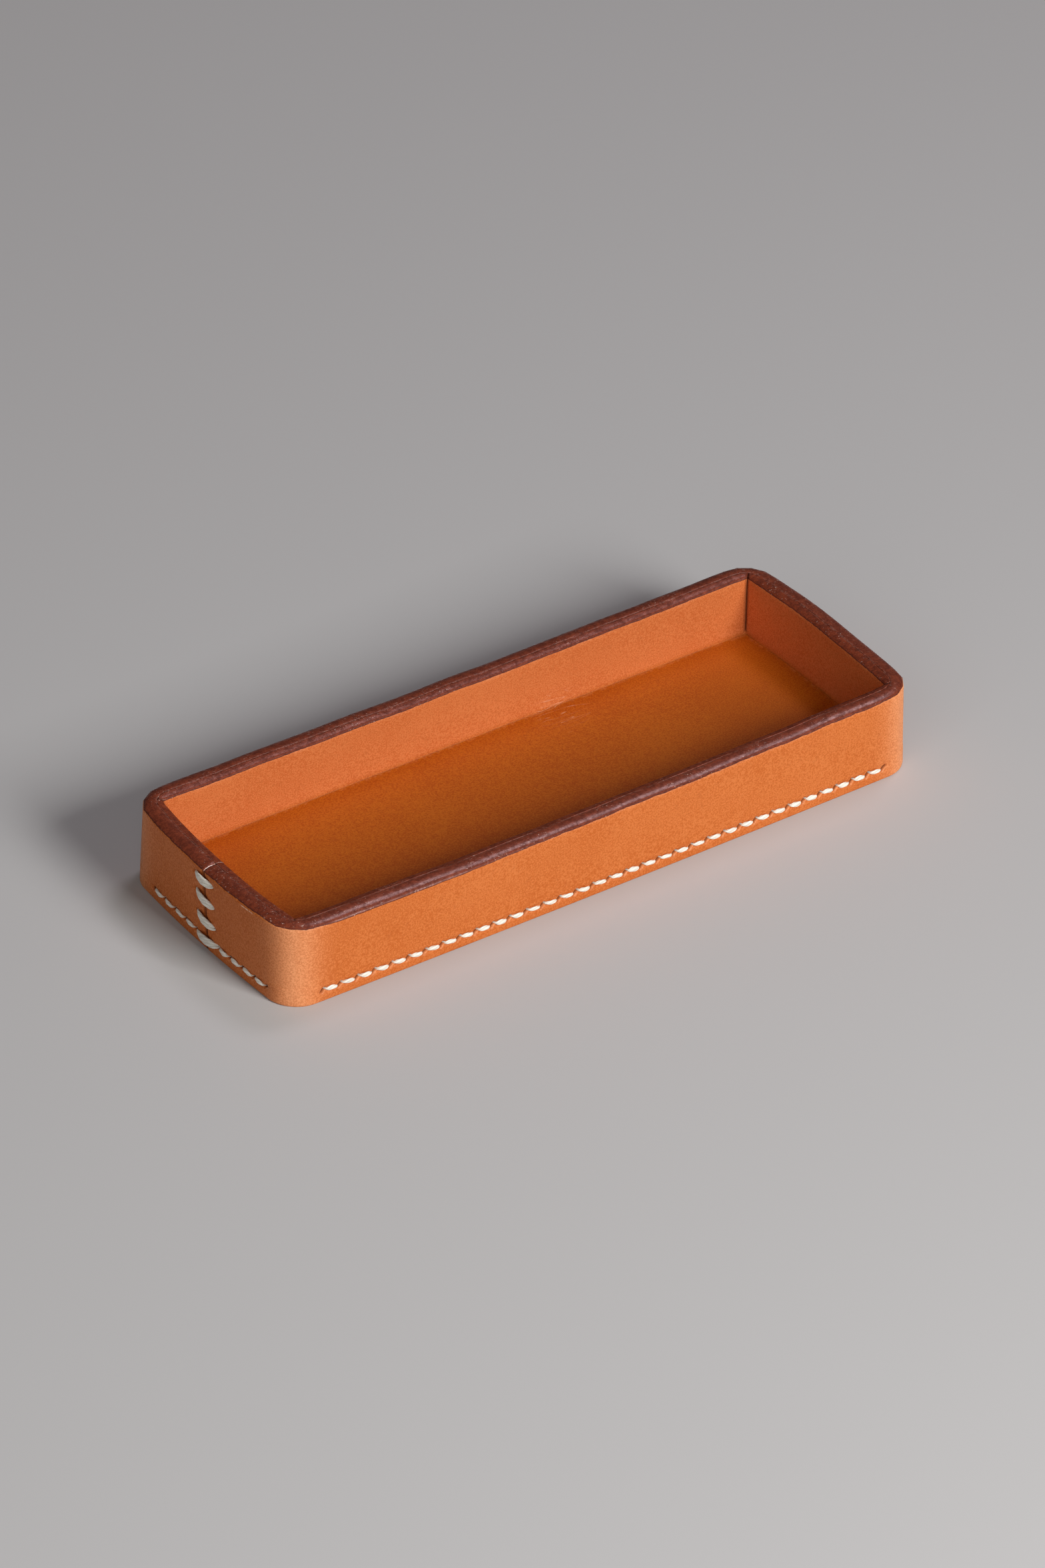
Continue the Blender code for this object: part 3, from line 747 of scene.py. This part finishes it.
def tube(name, middle, path, outward, bow, fat, node, material):
    # Ring point = c + w cos(a) b + t sin(a) n, with b up and n out, both square to the path, and with w and t
    # swollen by 1 + lobe cos(plies a - 2 pi s / lay); c = path + (outward, bow) 4 t (1 - t) on each run.
    steps, sides, plies = thread["stepsPerRun"], thread["sides"], thread["plies"]
    t = np.linspace(0, 1, steps, endpoint=False)[None, :]
    arch = 4 * t * (1 - t)
    start, stop = path[:-1, None, :], path[1:, None, :]
    centre = start + (stop - start) * t[..., None]
    centre[..., 1] -= outward[:, None] * arch
    centre[..., 2] += bow[:, None] * arch
    centre = np.vstack([centre.reshape(-1, 3), path[-1:]])
    swell = np.append((fat[:, None] * arch ** thread["plumpPower"]).ravel(), 0)[:, None]
    for _ in range(thread["rounding"]):
        centre[1:-1] = (centre[:-2] + 2 * centre[1:-1] + centre[2:]) / 4
    centre = onWall(middle + centre[:, 0], centre[:, 1], centre[:, 2])
    forward = np.gradient(centre, axis=0)
    forward /= np.linalg.norm(forward, axis=1, keepdims=True)
    b = np.array([0, 0, 1]) - forward[:, 2:] * forward
    b /= np.linalg.norm(b, axis=1, keepdims=True)
    n = np.cross(b, forward)
    s = np.concatenate([[0], np.cumsum(np.linalg.norm(np.diff(centre, axis=0), axis=1))])[:, None]
    a = np.linspace(0, 2 * np.pi, sides, endpoint=False)[None, :]
    twist = 2 * np.pi * s / thread["lay"]
    ply = 1 + thread["lobe"] * np.cos(plies * a - twist)
    wide = (thread["halfWidth"] + swell) * ply * np.cos(a)
    thick = (thread["halfThickness"] + thread["plumpThicknessShare"] * swell) * ply * np.sin(a)
    ring = centre[:, None, :] + wide[..., None] * b[:, None, :] + thick[..., None] * n[:, None, :]
    index = np.arange(ring.shape[0] * sides).reshape(-1, sides)
    closed = np.column_stack([index, index[:, :1]])
    faces = [gridFaces(closed), index[:1], index[-1:, ::-1]]
    turned, radius = a - twist / plies, thread["layRadius"]
    lay = np.stack([s + 0 * a, radius * np.cos(turned), radius * np.sin(turned)], -1).reshape(-1, 3)
    marks = {"lay": lay, "crest": np.cos(plies * a - twist).ravel()}
    return addPiece(name, settled(ring.reshape(-1, 3)), faces, material, [node], marks)


def makeRowThread(node, material, seed):
    # Both needles' ways in one path. Each run outside bulges, bows and swells by its own random share.
    middle, first, pitch, count = rows[node]
    path = np.vstack([strandPath(first, pitch, count, False)[::-1], strandPath(first, pitch, count, True)])
    draw = np.random.default_rng(seed).normal(0, thread["jitter"], (3, len(path) - 1))
    depth = path[:, 1]
    isOuter = (depth[:-1] < thread["diveDepth"]) & (depth[1:] < thread["diveDepth"])
    isUnder = (depth[:-1] > tray["bandThickness"]) & (depth[1:] > tray["bandThickness"])
    outward = np.where(isOuter, thread["bulge"] * (1 + draw[0]), 0)
    bowed = thread["bow"] * (1 + thread["bowJitter"] * draw[1])
    bow = np.where(isOuter, bowed, np.where(isUnder, -thread["underBulge"], 0))
    fat = np.where(isOuter, thread["plumpness"] * (1 + draw[2]), 0)
    return tube(node.replace("thread", "stitches"), middle, path, outward, bow, fat, node, material)


def makeLacing(material):
    # Two strands lie over each level. They leave and enter the band at one hole, and bow apart between.
    behind, face = tray["bandThickness"] - lacing["behind"], lacing["startDepth"]
    path, outward, bow, fat = [], [], [], []
    for level, reach, slant in zip(levels, reaches, slants):
        for side in (-1, 1):
            high = level + slant + side * lacing["leftSpread"]
            low = level - slant + side * lacing["rightSpread"]
            path += [(-reach, behind, high), (-reach, face, high), (reach, face, low), (reach, behind, low)]
            outward += [0, lacing["bulge"], 0, 0]
            bow += [0, side * lacing["bow"], 0, 0]
            fat += [0, lacing["plumpness"], 0, 0]
    path = np.array(path)
    outward, bow, fat = (np.array(values[:-1]) for values in (outward, bow, fat))
    return tube("lacing", 0, path, outward, bow, fat, "joint_thread", material)


# Node helpers: the values of a node's inputs are numbers, colours or the sockets that feed them.
def put(tree, kind, inputs=(), **settings):
    # a new node with its settings, and then its inputs, set or linked
    made = tree.nodes.new("ShaderNode" + kind)
    for name, value in settings.items():
        setattr(made, name, value)
    for name, value in dict(inputs).items():
        if isinstance(value, bpy.types.NodeSocket):
            tree.links.new(value, made.inputs[name])
        else:
            made.inputs[name].default_value = value
    return made


def combined(tree, operation, a, b=0.0, c=0.0):
    return put(tree, "Math", {0: a, 1: b, 2: c}, operation=operation).outputs[0]


def product(tree, a, b):
    return combined(tree, "MULTIPLY", a, b)


def ramp(tree, value, low, high, outLow=0.0, outHigh=1.0):
    # outLow below low, outHigh above high, and a smooth step between
    inputs = {"Value": value, "From Min": low, "From Max": high, "To Min": outLow, "To Max": outHigh}
    return put(tree, "MapRange", inputs, interpolation_type="SMOOTHSTEP").outputs["Result"]


def blend(tree, share, a, b):
    # a + share (b - a)
    return put(tree, "Mix", {0: share, 2: a, 3: b}).outputs[0]


def blendColour(tree, share, a, b):
    # the same for colours
    return put(tree, "Mix", {0: share, 6: a, 7: b}, data_type="RGBA").outputs[2]


def noise(tree, vector, scale, detail=3.0, roughness=0.5, distortion=0.0):
    inputs = {"Vector": vector, "Scale": scale, "Detail": detail}
    inputs |= {"Roughness": roughness, "Distortion": distortion}
    return put(tree, "TexNoise", inputs).outputs["Fac"]


def newGroup(name, values, outputs):
    # an empty node group with a Vector input, an input for each value, and these outputs
    tree = bpy.data.node_groups.new(name, "ShaderNodeTree")
    tree.interface.new_socket("Vector", in_out="INPUT", socket_type="NodeSocketVector")
    for socketName, value in values.items():
        socket = tree.interface.new_socket(socketName, in_out="INPUT", socket_type="NodeSocketFloat")
        socket.default_value = value
    for socketName in outputs:
        tree.interface.new_socket(socketName, in_out="OUTPUT", socket_type="NodeSocketFloat")
    return tree, tree.nodes.new("NodeGroupInput").outputs, tree.nodes.new("NodeGroupOutput").inputs


def newMaterial(name, specular):
    # a Principled material; it gives its tree, its shader's inputs and the piece's own coordinates
    made = bpy.data.materials.new(name)
    made.use_nodes = True
    tree = made.node_tree
    shader = tree.nodes["Principled BSDF"]
    shader.inputs["Specular IOR Level"].default_value = specular
    coords = tree.nodes.new("ShaderNodeTexCoord").outputs["Object"]
    return made, tree, shader.inputs, coords


def readMark(tree, name, output="Fac"):
    return put(tree, "Attribute", attribute_name=name).outputs[output]


def bumped(tree, shader, bumpHeight, strength, distance):
    bump = put(tree, "Bump", {"Height": bumpHeight, "Strength": strength, "Distance": distance})
    tree.links.new(bump.outputs["Normal"], shader["Normal"])


# The leathers' grain. The scale shares are of the group's own Pebble Scale and Cloud Scale. Here and below, a
# range's first two values are where a smooth step starts and ends, and any others what it goes from and to.
grainMix = {
    "pebbleHeight": 0.55,
    "fineHeight": 0.7,
    "fineScaleShare": 1.3,
    "middleScaleShare": 9.0,
    "speckleScaleShare": 1.55,
    "poreScaleShare": 0.35,
    "cloudTone": 0.18,
    "middleTone": 0.09,
    "speckleTone": 0.73,
    "poreRange": (0.62, 0.74),
}


def makeHideGrain():
    # Height: fine pebbles; Tone: cloudy and speckled, round a half; Pores: scattered spots
    scales = {"Pebble Scale": 1400.0, "Cloud Scale": 45.0}
    tree, given, out = newGroup("hideGrain", scales, ["Height", "Tone", "Pores"])
    vector, pebble, cloudy = given["Vector"], given["Pebble Scale"], given["Cloud Scale"]
    cells = put(tree, "TexVoronoi", {"Vector": vector, "Scale": pebble}, feature="F1").outputs["Distance"]
    fine = noise(tree, vector, product(tree, pebble, grainMix["fineScaleShare"]), 4.0, 0.6)
    pebbles = product(tree, cells, grainMix["pebbleHeight"])
    fine = product(tree, fine, grainMix["fineHeight"])
    tree.links.new(combined(tree, "ADD", pebbles, fine), out["Height"])
    cloud = noise(tree, vector, cloudy, 4.0, 0.55, 0.4)
    middle = noise(tree, vector, product(tree, cloudy, grainMix["middleScaleShare"]), 3.0, 0.6)
    speckle = noise(tree, vector, product(tree, pebble, grainMix["speckleScaleShare"]), 1.5, 0.7)
    tone = product(tree, cloud, grainMix["cloudTone"])
    tone = combined(tree, "MULTIPLY_ADD", middle, grainMix["middleTone"], tone)
    tone = combined(tree, "MULTIPLY_ADD", speckle, grainMix["speckleTone"], tone)
    tree.links.new(tone, out["Tone"])
    spots = noise(tree, vector, product(tree, pebble, grainMix["poreScaleShare"]), 2.0, 0.5)
    tree.links.new(ramp(tree, spots, *grainMix["poreRange"]), out["Pores"])
    return tree


# The dyed and burnished edge. Distances from the dye's border are in millimetres.
burnish = {
    "wanderScale": 900.0,
    "wanderSize": 4.0,
    "maskRange": (-0.05, 0.06),
    "borderRange": (0.1, 0.3, 0.7, 0.0),
    "dotScale": 1900.0,
    "speckScale": 1500.0,
    "speckRange": (0.62, 0.69),
    "patchScale": 110.0,
    "patchRange": (0.42, 0.62),
    "fibreScale": 700.0,
    "gritScale": 2600.0,
    "gritShare": 0.5,
    "glossRange": (0.05, 0.4),
    "heightGlossRange": (0.6, 0.95, 0.3, 1.0),
}


def makeEdgeFinish():
    # Mask: 1 on the dyed edge, whose border wanders; Border: the darker dye just inside it; Scuff: small pale
    # marks; Height: the burnished fibres; Gloss: where it is waxed; Dots: what breaks up seam and crack
    outputs = ["Mask", "Border", "Scuff", "Height", "Gloss", "Dots"]
    tree, given, out = newGroup("edgeFinish", {"Distance": 0.0, "Ragged": 0.1}, outputs)
    vector = given["Vector"]
    wander = combined(tree, "SUBTRACT", noise(tree, vector, burnish["wanderScale"], 3.0, 0.6), 0.5)
    wanderSize = product(tree, given["Ragged"], burnish["wanderSize"])
    border = combined(tree, "MULTIPLY_ADD", wander, wanderSize, given["Distance"])
    tree.links.new(ramp(tree, border, *burnish["maskRange"]), out["Mask"])
    tree.links.new(ramp(tree, border, *burnish["borderRange"]), out["Border"])
    tree.links.new(noise(tree, vector, burnish["dotScale"], 1.0, 0.5), out["Dots"])
    specks = ramp(tree, noise(tree, vector, burnish["speckScale"], 2.0, 0.8), *burnish["speckRange"])
    patches = ramp(tree, noise(tree, vector, burnish["patchScale"], 2.0, 0.5), *burnish["patchRange"])
    tree.links.new(product(tree, specks, patches), out["Scuff"])
    fibres = noise(tree, vector, burnish["fibreScale"], 5.0, 0.7)
    grit = noise(tree, vector, burnish["gritScale"], 2.0, 0.6)
    fibreHeight = combined(tree, "MULTIPLY_ADD", grit, burnish["gritShare"], fibres)
    tree.links.new(fibreHeight, out["Height"])
    inside = ramp(tree, border, *burnish["glossRange"])
    polished = ramp(tree, fibreHeight, *burnish["heightGlossRange"])
    tree.links.new(product(tree, inside, polished), out["Gloss"])
    return tree


hideGrain = makeHideGrain()
edgeFinish = makeEdgeFinish()

# A sign of use, a scrape high on the laced wall, and a painted highlight on a few wrinkles on the floor by
# the back wall.
scrape = {
    "from": -0.0212,
    "to": -0.0157,
    "height": 0.02185,
    "halfHeight": 0.0003,
    "fade": 0.001,
    "share": 0.9,
    "breakScale": 1200.0,
    "breakRange": (0.36, 0.56),
    "wanderScale": 260.0,
    "wanderSize": 0.0008,
}
wrinkles = {
    "centre": (0.030, 0.0262, floorTop),
    "turn": math.radians(24),
    "scale": 620.0,
    "drawnOut": 0.16,
    "width": 0.016,
    "reach": 0.010,
    "fadeFromShare": 0.3,
    "share": 0.3,
}


def scrapeMask(tree, coords):
    # 1 within halfHeight of its height, between its two ends, on the wall that faces -X, broken up by noise
    place = put(tree, "SeparateXYZ", {0: coords}).outputs
    fade, wanderSize = scrape["fade"], scrape["wanderSize"]
    broken = ramp(tree, noise(tree, coords, scrape["breakScale"], 2.0, 0.6), *scrape["breakRange"])
    wander = noise(tree, coords, scrape["wanderScale"], 1.0)
    up = combined(tree, "MULTIPLY_ADD", wander, wanderSize, place["Z"])
    away = combined(tree, "ABSOLUTE", combined(tree, "SUBTRACT", up, scrape["height"] + wanderSize / 2))
    mask = ramp(tree, away, scrape["halfHeight"] / 3, scrape["halfHeight"], 1.0, 0.0)
    mask = product(tree, mask, ramp(tree, place["Y"], scrape["from"], scrape["from"] + fade))
    mask = product(tree, mask, ramp(tree, place["Y"], scrape["to"] - fade, scrape["to"], 1.0, 0.0))
    mask = product(tree, mask, ramp(tree, place["X"], -halfLength, fade - halfLength, 1.0, 0.0))
    return product(tree, product(tree, mask, broken), scrape["share"])


def wrinkleHighlightMask(tree, coords):
    # painted highlight on the wrinkles: the narrow middle of a noise that is drawn out along them,
    # fading out at reach from their centre
    mapping = {"Vector": coords, "Rotation": (0, 0, wrinkles["turn"]), "Scale": (wrinkles["drawnOut"], 1, 1)}
    turned = put(tree, "Mapping", mapping).outputs[0]
    fold = combined(tree, "SUBTRACT", noise(tree, turned, wrinkles["scale"], 1.0, 0.4), 0.5)
    lines = ramp(tree, combined(tree, "ABSOLUTE", fold), 0.0, wrinkles["width"], 1.0, 0.0)
    away = put(tree, "VectorMath", {0: coords, 1: wrinkles["centre"]}, operation="DISTANCE").outputs["Value"]
    reach, share = wrinkles["reach"], wrinkles["share"]
    return product(tree, lines, ramp(tree, away, reach * wrinkles["fadeFromShare"], reach, share, 0.0))


# Vegetable tanned leather with a dyed and burnished edge. Colours are linear. The band's and the lining's
# leathers each have two colours, a grain and a share of wax of their own; the lining's paler pair is painted
# sheen on its walls.
hide = {
    # painted shade: the lining's floor, the same leather as its walls, in a darker and more saturated pair
    "shadedFloorLight": (0.54, 0.132, 0.006, 1),
    "shadedFloorDark": (0.41, 0.073, 0.001, 1),
    # painted highlight: the paler pair for the corners' sheen, the slits' lips and the floor's edge
    "sheenLight": (0.86, 0.345, 0.145, 1),
    "sheenDark": (0.69, 0.235, 0.085, 1),
    "pore": (0.34, 0.07, 0.01, 1),
    # painted shade in the slits, holes and crease, and the dark joints
    "shadeAndJoints": (0.085, 0.021, 0.008, 1),
    "edge": (0.115, 0.017, 0.005, 1),
    "edgeLight": (0.27, 0.050, 0.018, 1),
    "border": (0.07, 0.012, 0.008, 1),
    "scuff": (0.5, 0.3, 0.24, 1),
    "crack": (0.62, 0.38, 0.3, 1),
    "wearAndHighlight": (0.95, 0.58, 0.38, 1),
    "toneRange": (0.38, 0.62),
    "poreShare": 0.15,
    "ragged": 0.07,
    "edgeToneRange": (0.55, 1.0),
    "seamDotRange": (0.46, 0.56),
    "seamShare": 0.2,
    "crackRange": (0.06, 0.15, 1.0, 0.0),
    "crackDotRange": (0.36, 0.5),
    "specular": 0.3,
    "coatRoughness": 0.24,
    "roughnessRange": (0.3, 0.7, 0.6, 0.5),
    "edgeRoughnessRange": (0.0, 1.0, 0.65, 0.4),
    "shadeAndJointsRoughness": 0.9,
    "edgeHeight": 1.6,
    "bumpStrength": 0.55,
    "bumpDistance": 0.00006,
}
bandLeather = {
    "light": (0.64, 0.180, 0.040, 1),
    "dark": (0.51, 0.111, 0.012, 1),
    "pebbleScale": 1500.0,
    "cloudScale": 42.0,
    "wax": 1.0,
}
liningLeather = {
    # paler than the band's pair: painted sheen on the lining's walls
    "light": (0.68, 0.204, 0.060, 1),
    "dark": (0.55, 0.130, 0.028, 1),
    "pebbleScale": 1700.0,
    "cloudScale": 38.0,
    "wax": 0.25,
}


def grainOf(tree, coords, leather):
    scales = {"Pebble Scale": leather["pebbleScale"], "Cloud Scale": leather["cloudScale"]}
    return put(tree, "Group", {"Vector": coords, **scales}, node_tree=hideGrain).outputs


def hideColour(tree, leather, grain, wearAndHighlight):
    # from dark to light by the grain's tone, with a darker pair on the floor as painted shade, and a paler
    # one as painted highlight
    tone, onFloor = ramp(tree, grain["Tone"], *hide["toneRange"]), readMark(tree, "floor")
    light = blendColour(tree, onFloor, leather["light"], hide["shadedFloorLight"])
    dark = blendColour(tree, onFloor, leather["dark"], hide["shadedFloorDark"])
    colour = blendColour(tree, tone, dark, light)
    # painted highlight, where its mark says so
    highlighted = blendColour(tree, tone, hide["sheenDark"], hide["sheenLight"])
    colour = blendColour(tree, readMark(tree, "paintedHighlight"), colour, highlighted)
    # paler by the scrape's wear, and by the painted highlight on the floor's wrinkles
    colour = blendColour(tree, wearAndHighlight, colour, hide["wearAndHighlight"])
    return blendColour(tree, product(tree, grain["Pores"], hide["poreShare"]), colour, hide["pore"])


def edgeColour(tree, edge):
    # dye over the fibres, darker at its border, with pale scuffs, the seam's dots and the crack at the joint
    tone = ramp(tree, edge["Height"], *hide["edgeToneRange"])
    colour = blendColour(tree, tone, hide["edge"], hide["edgeLight"])
    colour = blendColour(tree, edge["Border"], colour, hide["border"])
    colour = blendColour(tree, edge["Scuff"], colour, hide["scuff"])
    # pale dots along the seam: partly worn, partly painted highlight on the seam's edge
    seam = product(tree, readMark(tree, "seam"), ramp(tree, edge["Dots"], *hide["seamDotRange"]))
    colour = blendColour(tree, product(tree, seam, hide["seamShare"]), colour, hide["crack"])
    crack = ramp(tree, readMark(tree, "joint"), *hide["crackRange"])
    crack = product(tree, crack, ramp(tree, edge["Dots"], *hide["crackDotRange"]))
    return blendColour(tree, crack, colour, hide["crack"])


def makeHide(name, leather, wearAndHighlightMask):
    # leather, with the burnished edge over it by the edge's mask, and the painted shade and dark joints over
    # both
    made, tree, shader, coords = newMaterial(name, hide["specular"])
    grain = grainOf(tree, coords, leather)
    given = {"Vector": coords, "Distance": readMark(tree, "paint"), "Ragged": hide["ragged"]}
    edge = put(tree, "Group", given, node_tree=edgeFinish).outputs
    mask, shadeAndJoints = edge["Mask"], readMark(tree, "shadeAndJoints")
    colour = hideColour(tree, leather, grain, wearAndHighlightMask(tree, coords))
    colour = blendColour(tree, mask, colour, edgeColour(tree, edge))
    tree.links.new(blendColour(tree, shadeAndJoints, colour, hide["shadeAndJoints"]), shader["Base Color"])
    rough = ramp(tree, grain["Tone"], *hide["roughnessRange"])
    rough = blend(tree, mask, rough, ramp(tree, edge["Gloss"], *hide["edgeRoughnessRange"]))
    tree.links.new(blend(tree, shadeAndJoints, rough, hide["shadeAndJointsRoughness"]), shader["Roughness"])
    tree.links.new(product(tree, edge["Gloss"], leather["wax"]), shader["Coat Weight"])
    shader["Coat Roughness"].default_value = hide["coatRoughness"]
    edgeHeight = product(tree, edge["Height"], hide["edgeHeight"])
    bumpHeight = blend(tree, mask, grain["Height"], edgeHeight)
    bumped(tree, shader, bumpHeight, hide["bumpStrength"], hide["bumpDistance"])
    return made


# Natural white waxed thread, faintly soiled, with painted shade between its plies.
waxed = {
    "dark": (0.80, 0.755, 0.66, 1),
    "light": (0.97, 0.93, 0.83, 1),
    "between": (0.6, 0.52, 0.41, 1),
    "soil": (0.6, 0.42, 0.26, 1),
    "fibreScale": 5000.0,
    "fibreDrawnOut": 0.12,
    "fibreRange": (0.3, 0.7),
    "crestRange": (-1.0, 0.4),
    "betweenShadeRange": (0.0, 1.0, 0.42, 0.0),
    "soilScale": 160.0,
    "soilRange": (0.55, 0.8, 0.0, 0.15),
    "specular": 0.4,
    "roughnessRange": (0.2, 0.8, 0.4, 0.62),
    "bumpStrength": 0.6,
    "bumpDistance": 0.00006,
}


def makeThreadMaterial():
    # fibres drawn out along the lay, and the plies' crests in the bump and as painted shade in the colour
    made, tree, shader, coords = newMaterial("waxed thread", waxed["specular"])
    mapping = {"Vector": readMark(tree, "lay", "Vector"), "Scale": (waxed["fibreDrawnOut"], 1, 1)}
    fibres = noise(tree, put(tree, "Mapping", mapping).outputs[0], waxed["fibreScale"], 3.0, 0.6)
    soil = ramp(tree, noise(tree, coords, waxed["soilScale"], 3.0, 0.6), *waxed["soilRange"])
    crest = ramp(tree, readMark(tree, "crest"), *waxed["crestRange"])
    colour = blendColour(tree, ramp(tree, fibres, *waxed["fibreRange"]), waxed["dark"], waxed["light"])
    # painted shade between the plies
    colour = blendColour(tree, ramp(tree, crest, *waxed["betweenShadeRange"]), colour, waxed["between"])
    tree.links.new(blendColour(tree, soil, colour, waxed["soil"]), shader["Base Color"])
    tree.links.new(ramp(tree, fibres, *waxed["roughnessRange"]), shader["Roughness"])
    bumped(tree, shader, combined(tree, "ADD", fibres, crest), waxed["bumpStrength"], waxed["bumpDistance"])
    return made


# The sole's leather, the same all over.
soleLeather = {
    "dark": (0.4, 0.13, 0.045, 1),
    "light": (0.55, 0.22, 0.09, 1),
    "pebbleScale": 1700.0,
    "cloudScale": 70.0,
    "toneRange": (0.3, 0.7),
    "poreShare": 0.5,
    "specular": 0.3,
    "roughnessRange": (0.3, 0.7, 0.6, 0.8),
    "bumpStrength": 0.8,
    "bumpDistance": 0.0001,
}


def makeSoleMaterial():
    # from dark to light by the grain's tone, with pores
    made, tree, shader, coords = newMaterial("sole leather", soleLeather["specular"])
    grain = grainOf(tree, coords, soleLeather)
    tone = ramp(tree, grain["Tone"], *soleLeather["toneRange"])
    pores = product(tree, grain["Pores"], soleLeather["poreShare"])
    colour = blendColour(tree, tone, soleLeather["dark"], soleLeather["light"])
    tree.links.new(blendColour(tree, pores, colour, hide["pore"]), shader["Base Color"])
    tree.links.new(ramp(tree, grain["Tone"], *soleLeather["roughnessRange"]), shader["Roughness"])
    bumped(tree, shader, grain["Height"], soleLeather["bumpStrength"], soleLeather["bumpDistance"])
    return made


bandHide = makeHide("band leather", bandLeather, scrapeMask)
liningHide = makeHide("lining leather", liningLeather, wrinkleHighlightMask)
waxedThread = makeThreadMaterial()
print("materials made")

makeBand(bandHide)
print("band made")
makeLining(liningHide)
print("lining made")
for number, node in enumerate(rows):
    makeRowThread(node, waxedThread, thread["firstSeed"] + number)
makeLacing(waxedThread)
print("threads made")
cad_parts["sole"].data.materials.clear()
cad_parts["sole"].data.materials.append(makeSoleMaterial())

# A plain pale floor, a large soft lamp in front on the right, two weaker ones, and a weak light all round.
studio = {
    "floorSize": 8.0,
    "floorColour": (0.58, 0.57, 0.56, 1),
    "floorRoughness": 0.85,
    "floorSpecular": 0.2,
    "lamps": {
        "key": {"from": (0.16, -0.85, 0.49), "away": 1.6, "size": 0.6, "power": 24.8, "colour": (1, 1, 1)},
        "fill": {"from": (-0.72, -0.50, 0.48), "away": 2.2, "size": 1.6, "power": 10.0, "colour": (1, 1, 1)},
        "top": {"from": (0.46, 0.16, 0.87), "away": 2.0, "size": 0.5, "power": 5.2, "colour": (1, 0.9, 1)},
    },
    "world": 0.05,
    "worldColour": (1, 1, 1, 1),
}


def makeFloor():
    half = studio["floorSize"] / 2
    mesh = bpy.data.meshes.new("floor")
    corners = [(-half, -half, 0), (half, -half, 0), (half, half, 0), (-half, half, 0)]
    mesh.from_pydata(corners, [], [(0, 1, 2, 3)])
    made, _, shader, _ = newMaterial("plain floor", studio["floorSpecular"])
    shader["Base Color"].default_value = studio["floorColour"]
    shader["Roughness"].default_value = studio["floorRoughness"]
    mesh.materials.append(made)
    floor = bpy.data.objects.new("floor", mesh)
    bpy.context.scene.collection.objects.link(floor)


def makeLamps():
    # each lamp looks at the origin from its own side
    for name, lamp in studio["lamps"].items():
        data = bpy.data.lights.new(name, "AREA")
        data.shape = "SQUARE"
        data.size = lamp["size"]
        data.energy = lamp["power"]
        data.color = lamp["colour"]
        made = bpy.data.objects.new(name, data)
        bpy.context.scene.collection.objects.link(made)
        towards = Vector(lamp["from"]).normalized()
        made.location = lamp["away"] * towards
        made.rotation_mode = "QUATERNION"
        made.rotation_quaternion = towards.to_track_quat("Z", "Y")


def makeWorld():
    world = bpy.data.worlds.new("studio")
    bpy.context.scene.world = world
    world.use_nodes = True
    background = world.node_tree.nodes["Background"]
    background.inputs["Color"].default_value = studio["worldColour"]
    background.inputs["Strength"].default_value = studio["world"]


# The photograph's viewpoint, worked out from the tray's edges in it.
camera = {
    "azimuth": math.radians(-35.875),
    "elevation": math.radians(35.257),
    "roll": math.radians(1.436),
    "distance": 2.4946,
    "target": (0.00829, 0.01284, 0.0),
    "focalPixels": 14917.7,
    "longSidePixels": 2353,
    "sensor": 36.0,
    "clipEnd": 50,
}


def makeCamera():
    # it looks along -back from distance away, with right and up turned by the roll
    a, e, roll = camera["azimuth"], camera["elevation"], camera["roll"]
    back = Vector((math.sin(a) * math.cos(e), -math.cos(a) * math.cos(e), math.sin(e)))
    level = Vector((0, 0, 1)).cross(back).normalized()
    upright = back.cross(level)
    right = math.cos(roll) * level + math.sin(roll) * upright
    up = math.cos(roll) * upright - math.sin(roll) * level
    data = bpy.data.cameras.new("camera")
    data.sensor_width = camera["sensor"]
    data.lens = camera["focalPixels"] / camera["longSidePixels"] * camera["sensor"]
    data.clip_end = camera["clipEnd"]
    made = bpy.data.objects.new("camera", data)
    bpy.context.scene.collection.objects.link(made)
    turned = Matrix((right, up, back)).transposed().to_4x4()
    turned.translation = Vector(camera["target"]) + camera["distance"] * back
    made.matrix_world = turned
    bpy.context.scene.camera = made


makeFloor()
makeLamps()
makeWorld()
makeCamera()
bpy.context.scene.view_settings.view_transform = "Standard"
print("stage and camera made")
